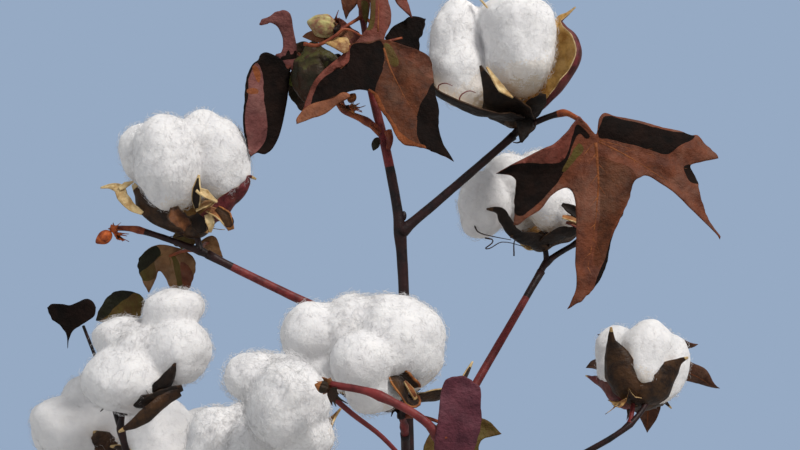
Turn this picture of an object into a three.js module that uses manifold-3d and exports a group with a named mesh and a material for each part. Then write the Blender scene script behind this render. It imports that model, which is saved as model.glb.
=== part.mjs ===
// A cotton plant late in its season: one rooted bush with open bolls, dried burs and red-brown leaves.
// Millimetres, +Z up, origin at the middle of the flat cut where the main stem meets the ground.
// The side that shows best faces -Y.
import * as THREE from 'three';
import { mergeVertices } from 'three/addons/utils/BufferGeometryUtils.js';
import Module from 'manifold-3d';

const wasm = await Module();
wasm.setup();

// Main stem
const stemHeight = 984;
const footRadius = 8;
const stemTipRadius = 2.3;
const flareRadius = 6;
const flareHeight = 16;
const nodeSwelling = 0.22;
const nodeHalfLength = 8;
const stemSides = 6;
const closestRings = 3;
const flareRings = [0, 7, 18, 42];

// Branches and twigs
const clearance = 0.3;
const branchSides = 5;
const branchSteps = 4;
const branchRootRadius = 2.6;
const branchTipRadius = 2;
const twigSides = 3;
const twigRadius = 1.9;
const twigTipRadius = 1.4;
const bollStalkRadius = 1.6;
const stalkRadius = 1.2;
const stalkTaper = 0.8;
const petioleRadius = 1;

// Open bolls: a dried bur of pointed carpels under a tuft of soft locks
const lockCount = 4;
const lockSpread = 0.24;
const lockWidth = 0.29;
const lockHeight = 0.5;
const burLift = 7;
const fineTuft = [16, 7];
const plainTuft = [8, 5];
const carpelLength = 0.62;
const carpelCup = 0.62;
const carpelTaper = 1.3;
const carpelValley = 0.26;
const lowestLint = 145;

// Leaves
const leafHalfThickness = 0.013;
const thinnestHalf = 0.45;
const sinusShare = 0.4;
const pointedSinusShare = 0.58;
const shoulderShare = 0.62;
const notchReach = 0.09;

// Branches that grow by the plant's own rule, from the first under the shown ones down to the last
const growingCount = 15;
const growingTop = 724;
const growingLow = 168;
const growingFirstTurn = 24;
const turnPerNode = 137.5;
const upperReach = 95;
const lowerReach = 140;
const upperRise = 24;
const lowerRise = 15;
const internode = 58;
const internodeLoss = 0.12;
const firstInternode = 0.35;
const zigzag = 24;
const twigLift = 4;
const growingSag = 4;
const bollWidth = 62;
const bollHeight = 52;
const bollStalk = 15;
const bollTurn = 40;
const bollRise = 58;
const bollLoss = 0.07;
const petioleLength = 40;
const leafLength = 72;
const leafTurn = 72;
const leafRise = 14;
const leafDroop = 48;
const leafFaceRise = 42;
const leafLoss = 0.1;
const leafShare = 0.8;
const personalSpace = 5;
const stemSpacing = 18;

// Lobes of a whole leaf: [turn, share of the leaf's length, side the lobe curls to]
const wholeLeaf = [[-112, 0.52, 1], [-56, 0.82, -1], [0, 1, 1], [56, 0.82, -1], [112, 0.52, 1]];

const stemPath = new THREE.CatmullRomCurve3([
  new THREE.Vector3(0, 0, 0),
  new THREE.Vector3(4, 3, 260),
  new THREE.Vector3(7, -3, 520),
  new THREE.Vector3(4, 0, 790),
  new THREE.Vector3(0, 0, 905),
  new THREE.Vector3(-7.5, 0, 949),
  new THREE.Vector3(-16, 0, stemHeight),
]);

// The branches in full view. root is the height on the stem, tip is where the bare branch enters its
// foliage, and twig holds the nodes of the thinner stem that goes on from there.
// A leaf's lobes are [turn from its middle, reach, hang towards its face, half width in degrees], or its
// outline is given by its corners as [turn, reach, hang] where its lobes are folded or torn.
const shownBranches = [
  {
    name: 'right_high',
    root: 905,
    tip: [60.5, 0, 956.8],
    sag: 0,
    twig: [[64, 0, 960], [85.5, -6, 968], [93, -13, 964]],
    bolls: [{
      at: 0, base: [64, 0, 963], middle: [49.5, 0, 1001], width: 68, height: 66, turn: 225,
      cup: 1.05, carpel: 0.66,
    }],
    leaves: [{
      at: 2, joint: [100.4, -20, 952.5], aim: [92.8, -24, 868.3], face: [0, -1, 0.1],
      corners: [
        [-180, 5, 0], [-135, 12, 0], [-91, 14, 4], [-66, 26, 8], [-62, 52, 16], [-34, 59, 12], [-25, 36, 5],
        [-10, 30, 0], [-3, 60, 0], [-1.6, 88, 0], [9, 77, 0], [19, 51, 0], [44, 33, 0], [54, 42, 0],
        [58, 82, 2], [75, 59, -8], [90, 64, -18], [101, 54, -22], [162, 13, -6],
      ],
    }],
    buds: [],
  },
  {
    name: 'left_high',
    root: 849,
    tip: [-100.6, -9.6, 893.6],
    sag: 3,
    twig: [[-104.2, -10, 895.1], [-136, -12, 906], [-150, -14, 907]],
    bolls: [{
      at: 0, base: [-105.9, -10, 903.4], middle: [-113, -10, 941], width: 70, height: 54, turn: 250,
      cup: 0.56, carpel: 0.66,
    }],
    leaves: [
      {
        at: 0, joint: [-112, 12, 899], aim: [-136, 18, 877], face: [0.1, -1, 0.2],
        corners: [
          [-180, 4, 0], [-75, 12, 0], [-45, 27, 2], [-32, 30, 2], [-12, 28, 0],
          [0, 32, 0], [14, 28, 0], [33, 25, 2], [50, 18, 2], [75, 8, 0],
        ],
      },
      {
        at: 0, joint: [-106, 14, 902], aim: [-99, 18, 889], face: [0.2, -1, 0.2],
        lobes: [[-60, 11, 0, 20], [0, 17, 0, 20], [60, 11, 0, 20]],
      },
      {
        at: 2, joint: [-153, -12, 901], aim: [-164, -8, 878], face: [-0.3, -1, 0.1],
        lobes: [[-60, 13, 0, 20], [0, 25, 0, 18], [60, 13, 0, 20]],
      },
    ],
    buds: [{ at: 2, base: [-152, -14, 906], middle: [-158, -14, 903], width: 9, height: 11 }],
  },
  {
    name: 'right_back',
    root: 765,
    tip: [81.5, 52.6, 885],
    sag: 0,
    twig: [[85.2, 55, 890.4], [104, 63, 902], [122, 72, 913]],
    bolls: [{ at: 0, base: [85.2, 55, 899], middle: [69, 57, 927], width: 66, height: 52, turn: 200 }],
    leaves: [],
    buds: [{ at: 2, base: [122, 72, 913], middle: [127, 73, 921], width: 12, height: 16 }],
  },
  {
    name: 'front_right',
    root: 733,
    tip: [2.4, -48, 806],
    sag: -4,
    twig: [[2, -52, 810], [1, -60, 816]],
    bolls: [{ at: 1, base: [-1, -66, 822], middle: [-16, -74, 850], width: 78, height: 48, turn: 180 }],
    leaves: [{
      at: 1, joint: [24, -70, 812], aim: [38, -76, 776], face: [0.3, -1, 0.2],
      lobes: [[-62, 24, 2, 20], [0, 39, 0, 17], [62, 24, 2, 20]],
    }],
    buds: [],
  },
  {
    name: 'front_left',
    root: 700,
    tip: [-32, -90, 773],
    sag: -4,
    twig: [[-33, -95, 779], [-31, -114, 797]],
    bolls: [
      { at: 0, base: [-62, -84, 785], middle: [-70, -94, 808], width: 45, height: 42, turn: 250 },
      { at: 1, base: [-37, -130, 809], middle: [-49, -142, 832], width: 42, height: 43, turn: 200 },
    ],
    leaves: [],
    buds: [],
  },
  {
    name: 'front_low',
    root: 655,
    tip: [10, -140, 778],
    sag: -6,
    twig: [[12, -160, 800], [13.6, -178, 823], [-7.4, -174, 837], [-26, -170, 841]],
    bolls: [],
    leaves: [{
      at: 1, joint: [17, -179, 822], aim: [22, -181, 845], face: [0.1, -1, 0],
      lobes: [[-150, 17, 0, 22], [0, 23, 0, 28], [150, 22, 0, 22]],
    }],
    buds: [{ at: 3, base: [-26, -170, 841], middle: [-30, -170, 843], width: 9, height: 15 }],
  },
  {
    name: 'left_low',
    root: 612,
    tip: [-136, -35, 790],
    sag: 26,
    twig: [[-137.5, -37, 806], [-137, -37, 814]],
    bolls: [{ at: 1, base: [-136.5, -36, 818], middle: [-128, -23, 845], width: 68, height: 56, turn: 280 }],
    leaves: [
      {
        at: 0, joint: [-168, -16, 853], aim: [-172, -14, 826], face: [-0.2, -1, 0.2],
        lobes: [[-75, 21, 0, 26], [0, 27, 0, 24], [75, 21, 0, 26]],
      },
      {
        at: 1, joint: [-150, 4, 875], aim: [-146, 2, 852], face: [0.2, -1, 0.3],
        lobes: [[-68, 19, 0, 24], [0, 23, 0, 24], [68, 19, 0, 24]],
      },
    ],
    buds: [],
  },
];

// What grows on the stem itself: the one at its tip and the one on a short side shoot below it
const tipGrowths = [
  {
    name: 'tip',
    start: [-16.1, 0, stemHeight + clearance],
    twig: [[-17.5, -1, 1001], [-20, -1, 1021], [-22.5, 0, 1040]],
    bolls: [],
    leaves: [
      {
        at: 0, joint: [-9, -22, 1002.5], aim: [26.6, -34, 940.1], face: [-0.1, -1, 0.1],
        corners: [
          [-180, 4, 0], [-103, 19, 4], [-90, 31, 8], [-79, 54, 14], [-68, 32, 6], [-45, 28, 2],
          [-29, 41, 0], [-15, 56, 0], [-6, 63, 0], [0, 71, 0], [5, 48, 0], [17, 36, -2],
          [34, 27, -3], [46, 10, -1], [120, 4, 0],
        ],
      },
      {
        at: 0, joint: [-9, 3, 1001], aim: [12, 8, 1014], face: [-0.2, 0.4, 1],
        lobes: [[-60, 15, 0, 22], [0, 25, 0, 22], [60, 18, 0, 22]],
      },
      {
        at: 1, joint: [-14, -14, 1010], aim: [-16, -16, 1046], face: [0.4, -1, 0.2],
        lobes: [[-55, 17, 4, 18], [0, 37, 0, 17], [55, 17, 4, 18]],
      },
      {
        at: 2, joint: [-29, -2, 1043], aim: [-27, -6, 1015], face: [-0.6, -1, 0.2],
        lobes: [[-60, 9, 0, 20], [0, 28, 0, 15], [60, 9, 0, 20]],
      },
      {
        at: 2, joint: [-10, 0, 1040], aim: [4, -4, 1020], face: [0.5, -1, 0.6],
        lobes: [[-60, 9, 0, 20], [0, 24, 0, 15], [60, 9, 0, 20]],
      },
    ],
    buds: [
      { at: 2, base: [-22.5, 0, 1040], middle: [-24, 0, 1050], width: 12, height: 18 },
      { at: 1, base: [-27, -8, 1013], middle: [-38, -10, 1014], width: 16, height: 13 },
    ],
  },
  {
    name: 'side_shoot',
    start: [-13.5, -1, 961.4],
    twig: [[-18, -4, 964], [-29.5, -8, 969.5], [-36, -8, 978]],
    bolls: [],
    leaves: [{
      at: 2, joint: [-54, -6, 1004], aim: [-77, -12, 945], face: [0, -1, 0],
      corners: [
        [-180, 5, 0], [-158, 8, 0], [-142, 18, -4], [-120, 14, 0], [-98, 23, 5], [-75, 9, 0],
        [-47, 17, 2], [-30, 30, 4], [-14, 46, 4], [-7, 55, 2], [0, 65, 0], [11, 51, -2],
        [14, 40, -4], [17, 27, -3], [60, 6, 0],
      ],
    }],
    buds: [
      { at: 2, base: [-37, -8, 972], middle: [-44, -8, 990], width: 27, height: 34 },
      { at: 1, base: [-29, -9, 971], middle: [-25, -10, 978], width: 8, height: 11 },
    ],
  },
];

function vector(values) {
  return new THREE.Vector3(values[0], values[1], values[2]);
}

function mix(from, to, share) {
  return from + (to - from) * share;
}

function turned(degrees, rise) {
  const turn = THREE.MathUtils.degToRad(degrees);
  const lift = THREE.MathUtils.degToRad(rise);
  return new THREE.Vector3(
    Math.cos(turn) * Math.cos(lift),
    Math.sin(turn) * Math.cos(lift),
    Math.sin(lift),
  );
}

// A number from 0 to 1 that depends only on the branch, the item on it and what is asked
function chance(branch, item, question) {
  const wave = Math.sin(branch * 127.1 + item * 311.7 + question * 74.7) * 43758.5453;
  return wave - Math.floor(wave);
}

function spreadBy(amount, branch, item, question) {
  return amount * (2 * chance(branch, item, question) - 1);
}

function stemPoint(height) {
  let low = 0;
  let high = 1;
  for (let step = 0; step < 30; step += 1) {
    const middle = (low + high) / 2;
    if (stemPath.getPoint(middle).z < height) low = middle;
    else high = middle;
  }
  return stemPath.getPoint((low + high) / 2);
}

function stemRadius(height, nodes) {
  const taper = mix(footRadius, stemTipRadius, height / stemHeight);
  const flare = flareRadius * Math.exp(-height / flareHeight);
  const swelling = nodes.some((node) => Math.abs(node - height) < 1) ? nodeSwelling : 0;
  return (taper + flare) * (1 + swelling);
}

// Turns a three.js geometry into a closed solid that can be joined and cut
function solidOf(geometry) {
  const bare = geometry.clone();
  bare.deleteAttribute('normal');
  bare.deleteAttribute('uv');
  const merged = mergeVertices(bare, 1e-4);
  const mesh = new wasm.Mesh({
    numProp: 3,
    vertProperties: new Float32Array(merged.attributes.position.array),
    triVerts: new Uint32Array(merged.index.array),
  });
  return new wasm.Manifold(mesh);
}

// The largest connected skin, so that loose scraps are dropped and sealed hollows are filled
function largestSkin(points, triangles) {
  const group = Array.from({ length: points.length / 3 }, (unused, index) => index);
  const find = (index) => {
    let top = index;
    while (group[top] !== top) top = group[top];
    group[index] = top;
    return top;
  };
  for (let corner = 0; corner < triangles.length; corner += 3) {
    group[find(triangles[corner])] = find(triangles[corner + 1]);
    group[find(triangles[corner + 1])] = find(triangles[corner + 2]);
  }
  const at = (index) => new THREE.Vector3().fromArray(points, index * 3);
  const volumes = new Map();
  for (let corner = 0; corner < triangles.length; corner += 3) {
    const [a, b, c] = [0, 1, 2].map((step) => at(triangles[corner + step]));
    const skin = find(triangles[corner]);
    volumes.set(skin, (volumes.get(skin) ?? 0) + a.dot(b.cross(c)));
  }
  const [largest] = [...volumes].sort((one, other) => other[1] - one[1])[0];
  return triangles.filter((unused, corner) => find(triangles[corner - (corner % 3)]) === largest);
}

function geometryOf(solid) {
  const mesh = solid.getMesh();
  const points = new Float32Array(mesh.vertProperties);
  const triangles = largestSkin(points, new Uint32Array(mesh.triVerts));
  const geometry = new THREE.BufferGeometry();
  geometry.setAttribute('position', new THREE.BufferAttribute(points, 3));
  geometry.setIndex(new THREE.BufferAttribute(triangles, 1));
  geometry.computeVertexNormals();
  return geometry;
}

// A round limb: a unit cylinder whose rings are moved onto the points, each with its own radius
function limb(points, radii, sides) {
  const steps = points.length - 1;
  const geometry = new THREE.CylinderGeometry(1, 1, 1, sides, steps);
  const place = geometry.attributes.position;
  const along = points[steps].clone().sub(points[0]).normalize();
  const reference = Math.abs(along.z) > 0.8 ? new THREE.Vector3(0, 1, 0) : new THREE.Vector3(0, 0, 1);
  const rings = points.map((point, ring) => {
    const before = points[Math.max(ring - 1, 0)];
    const after = points[Math.min(ring + 1, steps)];
    const tangent = after.clone().sub(before).normalize();
    const side = reference.clone().cross(tangent).normalize();
    return { point, side, front: side.clone().cross(tangent), radius: radii[ring] };
  });
  for (let index = 0; index < place.count; index += 1) {
    const ring = rings[Math.round((place.getY(index) + 0.5) * steps)];
    const moved = ring.point.clone();
    moved.addScaledVector(ring.side, place.getX(index) * ring.radius);
    moved.addScaledVector(ring.front, place.getZ(index) * ring.radius);
    place.setXYZ(index, moved.x, moved.y, moved.z);
  }
  return solidOf(geometry);
}

function taperedLimb(points, rootRadius, tipRadius, sides) {
  const radii = points.map((point, ring) => mix(rootRadius, tipRadius, ring / (points.length - 1)));
  return limb(points, radii, sides);
}

// The main stem: level rings that follow its lean, flared at the foot and swollen at each node
function mainStem(nodes, extraRadius) {
  const heights = [...flareRings, stemHeight];
  for (const node of nodes) {
    heights.push(node - nodeHalfLength, node, node + nodeHalfLength);
  }
  heights.sort((a, b) => a - b);
  const kept = heights.filter((height, index) => index === 0 || height - heights[index - 1] > closestRings);
  const geometry = new THREE.CylinderGeometry(1, 1, 1, stemSides, kept.length - 1);
  const place = geometry.attributes.position;
  for (let index = 0; index < place.count; index += 1) {
    const height = kept[Math.round((place.getY(index) + 0.5) * (kept.length - 1))];
    const middle = stemPoint(height);
    const radius = stemRadius(height, nodes) + extraRadius;
    const x = middle.x + place.getZ(index) * radius;
    const y = middle.y + place.getX(index) * radius;
    place.setXYZ(index, x, y, height);
  }
  return solidOf(geometry);
}

// Corners of a blade's outline as [turn, reach, hang], from its lobes and the rule between them
function bladeCorners(lobes) {
  const longest = Math.max(...lobes.map((lobe) => lobe[1]));
  const corners = [[-180, longest * notchReach, 0]];
  lobes.forEach(([turn, reach, hang, halfWidth], index) => {
    const next = lobes[index + 1];
    const broad = halfWidth > 0;
    if (broad) corners.push([turn - halfWidth, reach * shoulderShare, hang * shoulderShare]);
    corners.push([turn, reach, hang]);
    if (broad) corners.push([turn + halfWidth, reach * shoulderShare, hang * shoulderShare]);
    if (next) {
      const middleTurn = (turn + halfWidth + next[0] - next[3]) / 2;
      const valley = Math.min(reach, next[1]) * (broad ? sinusShare : pointedSinusShare);
      corners.push([middleTurn, valley, (hang + next[2]) / 4]);
    }
  });
  return corners;
}

function cornersOf(leaf) {
  return leaf.corners ?? bladeCorners(leaf.lobes);
}

function bladeFrame(leaf) {
  const joint = vector(leaf.joint);
  const forward = vector(leaf.aim).sub(joint).normalize();
  const face = vector(leaf.face);
  face.addScaledVector(forward, -face.dot(forward)).normalize();
  return { joint, forward, face, side: face.clone().cross(forward) };
}

// A lobed blade: a flattened sphere whose equator is pushed out to the corners
function blade(frame, corners) {
  const count = corners.length;
  const longest = Math.max(...corners.map((corner) => corner[1]));
  const halfThickness = Math.max(thinnestHalf, longest * leafHalfThickness);
  const geometry = new THREE.SphereGeometry(1, count, 2);
  const place = geometry.attributes.position;
  for (let index = 0; index < place.count; index += 1) {
    const around = Math.atan2(place.getZ(index), -place.getX(index)) / (2 * Math.PI);
    const corner = corners[(Math.round(around * count) + count) % count];
    const share = Math.hypot(place.getX(index), place.getZ(index));
    const turn = THREE.MathUtils.degToRad(corner[0]);
    const moved = frame.joint.clone();
    moved.addScaledVector(frame.forward, Math.cos(turn) * corner[1] * share);
    moved.addScaledVector(frame.side, Math.sin(turn) * corner[1] * share);
    moved.addScaledVector(frame.face, corner[2] * share * share + halfThickness * place.getY(index));
    place.setXYZ(index, moved.x, moved.y, moved.z);
  }
  return solidOf(geometry);
}

// A soft lump: a faceted ball stretched along its own axes
function lump(middle, axis, halfWidth, halfHeight) {
  const geometry = new THREE.IcosahedronGeometry(1, 0);
  geometry.scale(halfWidth, halfHeight, halfWidth);
  const up = new THREE.Vector3(0, 1, 0);
  geometry.applyQuaternion(new THREE.Quaternion().setFromUnitVectors(up, axis));
  geometry.translate(middle.x, middle.y, middle.z);
  return solidOf(geometry);
}

function bollFrame(boll) {
  const base = vector(boll.base);
  const up = vector(boll.middle).sub(base).normalize();
  const flat = new THREE.Vector3(0, 0, 1);
  const tilt = new THREE.Quaternion().setFromUnitVectors(flat, up);
  return { base, up, tilt };
}

function around(frame, degrees) {
  return turned(degrees, 0).applyQuaternion(frame.tilt);
}

// How far a ray from the tuft's middle runs before it leaves the last of the egg-shaped locks
function tuftReach(boll, direction) {
  const halfWidth = boll.width * lockWidth;
  const halfHeight = boll.height * lockHeight;
  let reach = 0;
  for (let order = 0; order < lockCount; order += 1) {
    const outward = turned(boll.turn + order * (360 / lockCount), 0);
    const centre = outward.multiplyScalar(boll.width * lockSpread);
    const ray = direction.clone().divide(new THREE.Vector3(halfWidth, halfWidth, halfHeight));
    const start = centre.divideScalar(-halfWidth);
    const a = ray.lengthSq();
    const b = 2 * ray.dot(start);
    const c = start.lengthSq() - 1;
    const root = b * b - 4 * a * c;
    if (root > 0) reach = Math.max(reach, (-b + Math.sqrt(root)) / (2 * a));
  }
  return reach;
}

// How far the bur stands out at one place round it: a point between each two locks, a notch under each lock
function carpelShare(degrees) {
  const quarter = 360 / lockCount;
  const across = (((degrees % quarter) + quarter) % quarter) / quarter;
  const rise = 1 - Math.abs(2 * across - 1);
  return mix(carpelValley, 1, rise ** carpelTaper);
}

// An open boll as one skin: a ball pushed out to the locks, whose lowest band runs out to the carpels of the
// bur and back to the stalk
function openBoll(boll, [turns, bands]) {
  const frame = bollFrame(boll);
  const reach = boll.width * (boll.carpel ?? carpelLength);
  const cup = reach * (boll.cup ?? carpelCup);
  const geometry = new THREE.SphereGeometry(1, turns, bands);
  const place = geometry.attributes.position;
  for (let index = 0; index < place.count; index += 1) {
    const level = THREE.MathUtils.clamp(place.getY(index), -1, 1);
    const band = Math.round((Math.acos(level) / Math.PI) * bands);
    const degrees = THREE.MathUtils.radToDeg(Math.atan2(place.getZ(index), -place.getX(index)));
    const moved = frame.base.clone();
    if (band === bands - 1) {
      const share = carpelShare(degrees);
      moved.addScaledVector(around(frame, boll.turn + degrees), reach * share);
      moved.addScaledVector(frame.up, cup * share * share);
    } else if (band < bands - 1) {
      const direction = turned(boll.turn + degrees, 90 - (band / (bands - 2)) * lowestLint);
      const out = direction.clone().multiplyScalar(tuftReach(boll, direction));
      moved.copy(vector(boll.middle)).add(out.applyQuaternion(frame.tilt));
    }
    place.setXYZ(index, moved.x, moved.y, moved.z);
  }
  return [solidOf(geometry)];
}

function closedBud(bud) {
  const frame = bollFrame(bud);
  return [lump(vector(bud.middle), frame.up, bud.width / 2, bud.height / 2)];
}

function stalk(from, to, radius, past) {
  const end = to.clone().addScaledVector(to.clone().sub(from).normalize(), past);
  return taperedLimb([from, end], radius, radius * stalkTaper, twigSides);
}

function leafPieces(leaf, node) {
  const frame = bladeFrame(leaf);
  return [stalk(node, frame.joint, petioleRadius, petioleRadius), blade(frame, cornersOf(leaf))];
}

// Everything that grows on from a branch's tip, fused into one body
function foliage(start, along, growth, detail) {
  const nodes = growth.twig.map(vector);
  const straight = start.clone().addScaledVector(along, twigRadius);
  const pieces = [taperedLimb([start, straight, ...nodes], twigRadius, twigTipRadius, twigSides)];
  for (const boll of growth.bolls) {
    pieces.push(stalk(nodes[boll.at], vector(boll.base), bollStalkRadius, burLift));
    pieces.push(...openBoll(boll, detail));
  }
  for (const bud of growth.buds) {
    pieces.push(stalk(nodes[bud.at], vector(bud.middle), stalkRadius, 0));
    pieces.push(...closedBud(bud));
  }
  for (const leaf of growth.leaves) {
    pieces.push(...leafPieces(leaf, nodes[leaf.at]));
  }
  return wasm.Manifold.union(pieces);
}

// Points along a bare branch, from inside the stem to its tip, with its middle lowered by the sag
function branchPoints(branch) {
  const from = stemPoint(branch.root);
  const to = vector(branch.tip);
  const points = [];
  for (let step = 0; step <= branchSteps; step += 1) {
    const share = step / branchSteps;
    const point = from.clone().lerp(to, share);
    point.z -= branch.sag * 4 * share * (1 - share);
    points.push(point);
  }
  return points;
}

// One of the lower branches, laid out by the plant's rule
function growingBranch(order) {
  const share = order / (growingCount - 1);
  const root = mix(growingTop, growingLow, share);
  const turn = growingFirstTurn + order * turnPerNode + spreadBy(9, order, 0, 1);
  const rise = mix(upperRise, lowerRise, share) + spreadBy(5, order, 0, 2);
  const reach = mix(upperReach, lowerReach, share) * (1 + spreadBy(0.12, order, 0, 3));
  const tip = stemPoint(root).addScaledVector(turned(turn, rise), reach);
  const branch = { name: `lower_${order + 1}`, root, tip: tip.toArray(), sag: growingSag };
  Object.assign(branch, { twig: [], bolls: [], leaves: [], buds: [] });
  const hand = order % 2 === 0 ? 1 : -1;
  let node = tip;
  for (let item = 0; item < 3; item += 1) {
    const swing = item % 2 === 0 ? hand : -hand;
    const length = internode * (item === 0 ? firstInternode : 1 - internodeLoss * item);
    node = node.clone().addScaledVector(turned(turn + swing * zigzag, rise + twigLift * item), length);
    branch.twig.push(node.toArray());
    addBoll(branch, order, item, node, turn - swing * bollTurn);
    addLeaf(branch, order, item, node, turn + swing * leafTurn);
  }
  return branch;
}

function addBoll(branch, order, item, node, turn) {
  const size = 1 + spreadBy(0.12, order, item, 4) - bollLoss * item;
  const lean = turned(turn + spreadBy(25, order, item, 5), bollRise + spreadBy(16, order, item, 6));
  const base = node.clone().addScaledVector(lean, bollStalk);
  const middle = base.clone().addScaledVector(lean, bollHeight * size * lockHeight + burLift);
  branch.bolls.push({
    at: item,
    base: base.toArray(),
    middle: middle.toArray(),
    width: bollWidth * size,
    height: bollHeight * size,
    turn: 360 * chance(order, item, 7),
  });
}

function addLeaf(branch, order, item, node, turn) {
  if (chance(order, item, 8) > leafShare) return;
  const size = 1 + spreadBy(0.2, order, item, 9) - leafLoss * item;
  const out = turned(turn + spreadBy(20, order, item, 10), leafRise + spreadBy(14, order, item, 11));
  const joint = node.clone().addScaledVector(out, petioleLength * size);
  const droop = turned(turn + spreadBy(30, order, item, 12), -leafDroop + spreadBy(20, order, item, 13));
  const reach = leafLength * size;
  const aim = joint.clone().addScaledVector(droop, reach);
  const face = turned(turn + spreadBy(40, order, item, 14), leafFaceRise);
  const curl = reach * spreadBy(0.16, order, item, 15);
  branch.leaves.push({
    at: item,
    joint: joint.toArray(),
    aim: aim.toArray(),
    face: face.toArray(),
    lobes: wholeLeaf.map(([lobeTurn, share, curlSide]) => [lobeTurn, reach * share, curl * curlSide, 0]),
  });
}

// A branch's own line, used to keep every boll and leaf in the space of its own branch
function lineOf(branch) {
  return [...branchPoints(branch), ...branch.twig.map(vector)];
}

function distanceToLine(point, line) {
  let nearest = Infinity;
  const closest = new THREE.Vector3();
  for (let index = 0; index + 1 < line.length; index += 1) {
    new THREE.Line3(line[index], line[index + 1]).closestPointToPoint(point, true, closest);
    nearest = Math.min(nearest, closest.distanceTo(point));
  }
  return nearest;
}

function keepsSpace(points, own, others) {
  return points.every((point) => {
    const home = distanceToLine(point, own);
    const clearOfStem = Math.hypot(point.x, point.y) > stemSpacing;
    return clearOfStem && others.every((line) => distanceToLine(point, line) > home + personalSpace);
  });
}

function bollReach(boll) {
  const frame = bollFrame(boll);
  const points = [vector(boll.middle)];
  for (let order = 0; order < lockCount; order += 1) {
    const outward = around(frame, boll.turn + order * (360 / lockCount));
    points.push(vector(boll.middle).addScaledVector(outward, boll.width * (lockSpread + lockWidth)));
  }
  points.push(vector(boll.middle).addScaledVector(frame.up, boll.height * lockHeight));
  return points;
}

function leafReach(leaf) {
  const frame = bladeFrame(leaf);
  const points = cornersOf(leaf).map(([degrees, reach, hang]) => {
    const turn = THREE.MathUtils.degToRad(degrees);
    return frame.joint.clone()
      .addScaledVector(frame.forward, Math.cos(turn) * reach)
      .addScaledVector(frame.side, Math.sin(turn) * reach)
      .addScaledVector(frame.face, hang);
  });
  return [frame.joint, ...points];
}

// Skips the bolls and leaves of a growing branch that would leave its space
function thinOut(branch, branches) {
  const own = lineOf(branch).slice(branchSteps);
  const others = branches.filter((other) => other !== branch).map(lineOf);
  branch.bolls = branch.bolls.filter((boll) => keepsSpace(bollReach(boll), own, others));
  branch.leaves = branch.leaves.filter((leaf) => keepsSpace(leafReach(leaf), own, others));
}

const plant = new THREE.Group();
const stemMaterial = new THREE.MeshStandardMaterial({ color: 0x4a1f1c, roughness: 0.6, metalness: 0 });
const branchMaterial = new THREE.MeshStandardMaterial({ color: 0x6b2622, roughness: 0.55, metalness: 0 });
const foliageMaterial = new THREE.MeshStandardMaterial({ color: 0xb9a797, roughness: 0.9, metalness: 0 });

function addPart(name, solid, material) {
  const mesh = new THREE.Mesh(geometryOf(solid), material);
  mesh.name = name;
  plant.add(mesh);
}

const growingBranches = [];
for (let order = 0; order < growingCount; order += 1) {
  growingBranches.push(growingBranch(order));
}
const branches = [...shownBranches, ...growingBranches];
growingBranches.forEach((branch) => thinOut(branch, branches));

const stemNodes = branches.map((branch) => branch.root);
addPart('main_stem', mainStem(stemNodes, 0), stemMaterial);
const stemSpace = mainStem(stemNodes, clearance);

for (const branch of branches) {
  const points = branchPoints(branch);
  const whole = taperedLimb(points, branchRootRadius, branchTipRadius, branchSides);
  addPart(`branch_${branch.name}`, whole.subtract(stemSpace), branchMaterial);
  const along = points[branchSteps].clone().sub(points[branchSteps - 1]).normalize();
  const start = points[branchSteps].clone().addScaledVector(along, clearance);
  const detail = branch.name.startsWith('lower') ? plainTuft : fineTuft;
  addPart(`foliage_${branch.name}`, foliage(start, along, branch, detail), foliageMaterial);
}

for (const growth of tipGrowths) {
  const start = vector(growth.start);
  const along = vector(growth.twig[0]).sub(start).normalize();
  const body = foliage(start, along, growth, fineTuft).subtract(stemSpace);
  addPart(`foliage_${growth.name}`, body, foliageMaterial);
}

export default plant;
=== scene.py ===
import math
import bmesh
import bpy
import numpy as np
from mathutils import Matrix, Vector
from mathutils.geometry import delaunay_2d_cdt


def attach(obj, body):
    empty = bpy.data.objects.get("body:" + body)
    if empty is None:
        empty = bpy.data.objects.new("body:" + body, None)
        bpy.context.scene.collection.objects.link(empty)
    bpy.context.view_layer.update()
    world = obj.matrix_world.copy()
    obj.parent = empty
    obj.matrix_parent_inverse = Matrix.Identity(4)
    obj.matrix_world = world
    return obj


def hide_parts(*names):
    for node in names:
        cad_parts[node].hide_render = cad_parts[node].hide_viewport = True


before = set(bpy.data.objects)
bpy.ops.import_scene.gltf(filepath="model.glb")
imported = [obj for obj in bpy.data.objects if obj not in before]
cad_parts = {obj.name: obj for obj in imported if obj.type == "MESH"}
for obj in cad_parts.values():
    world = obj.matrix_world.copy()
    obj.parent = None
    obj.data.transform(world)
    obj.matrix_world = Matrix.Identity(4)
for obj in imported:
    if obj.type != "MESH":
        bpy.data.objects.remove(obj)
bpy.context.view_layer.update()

mm = 0.001

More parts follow.
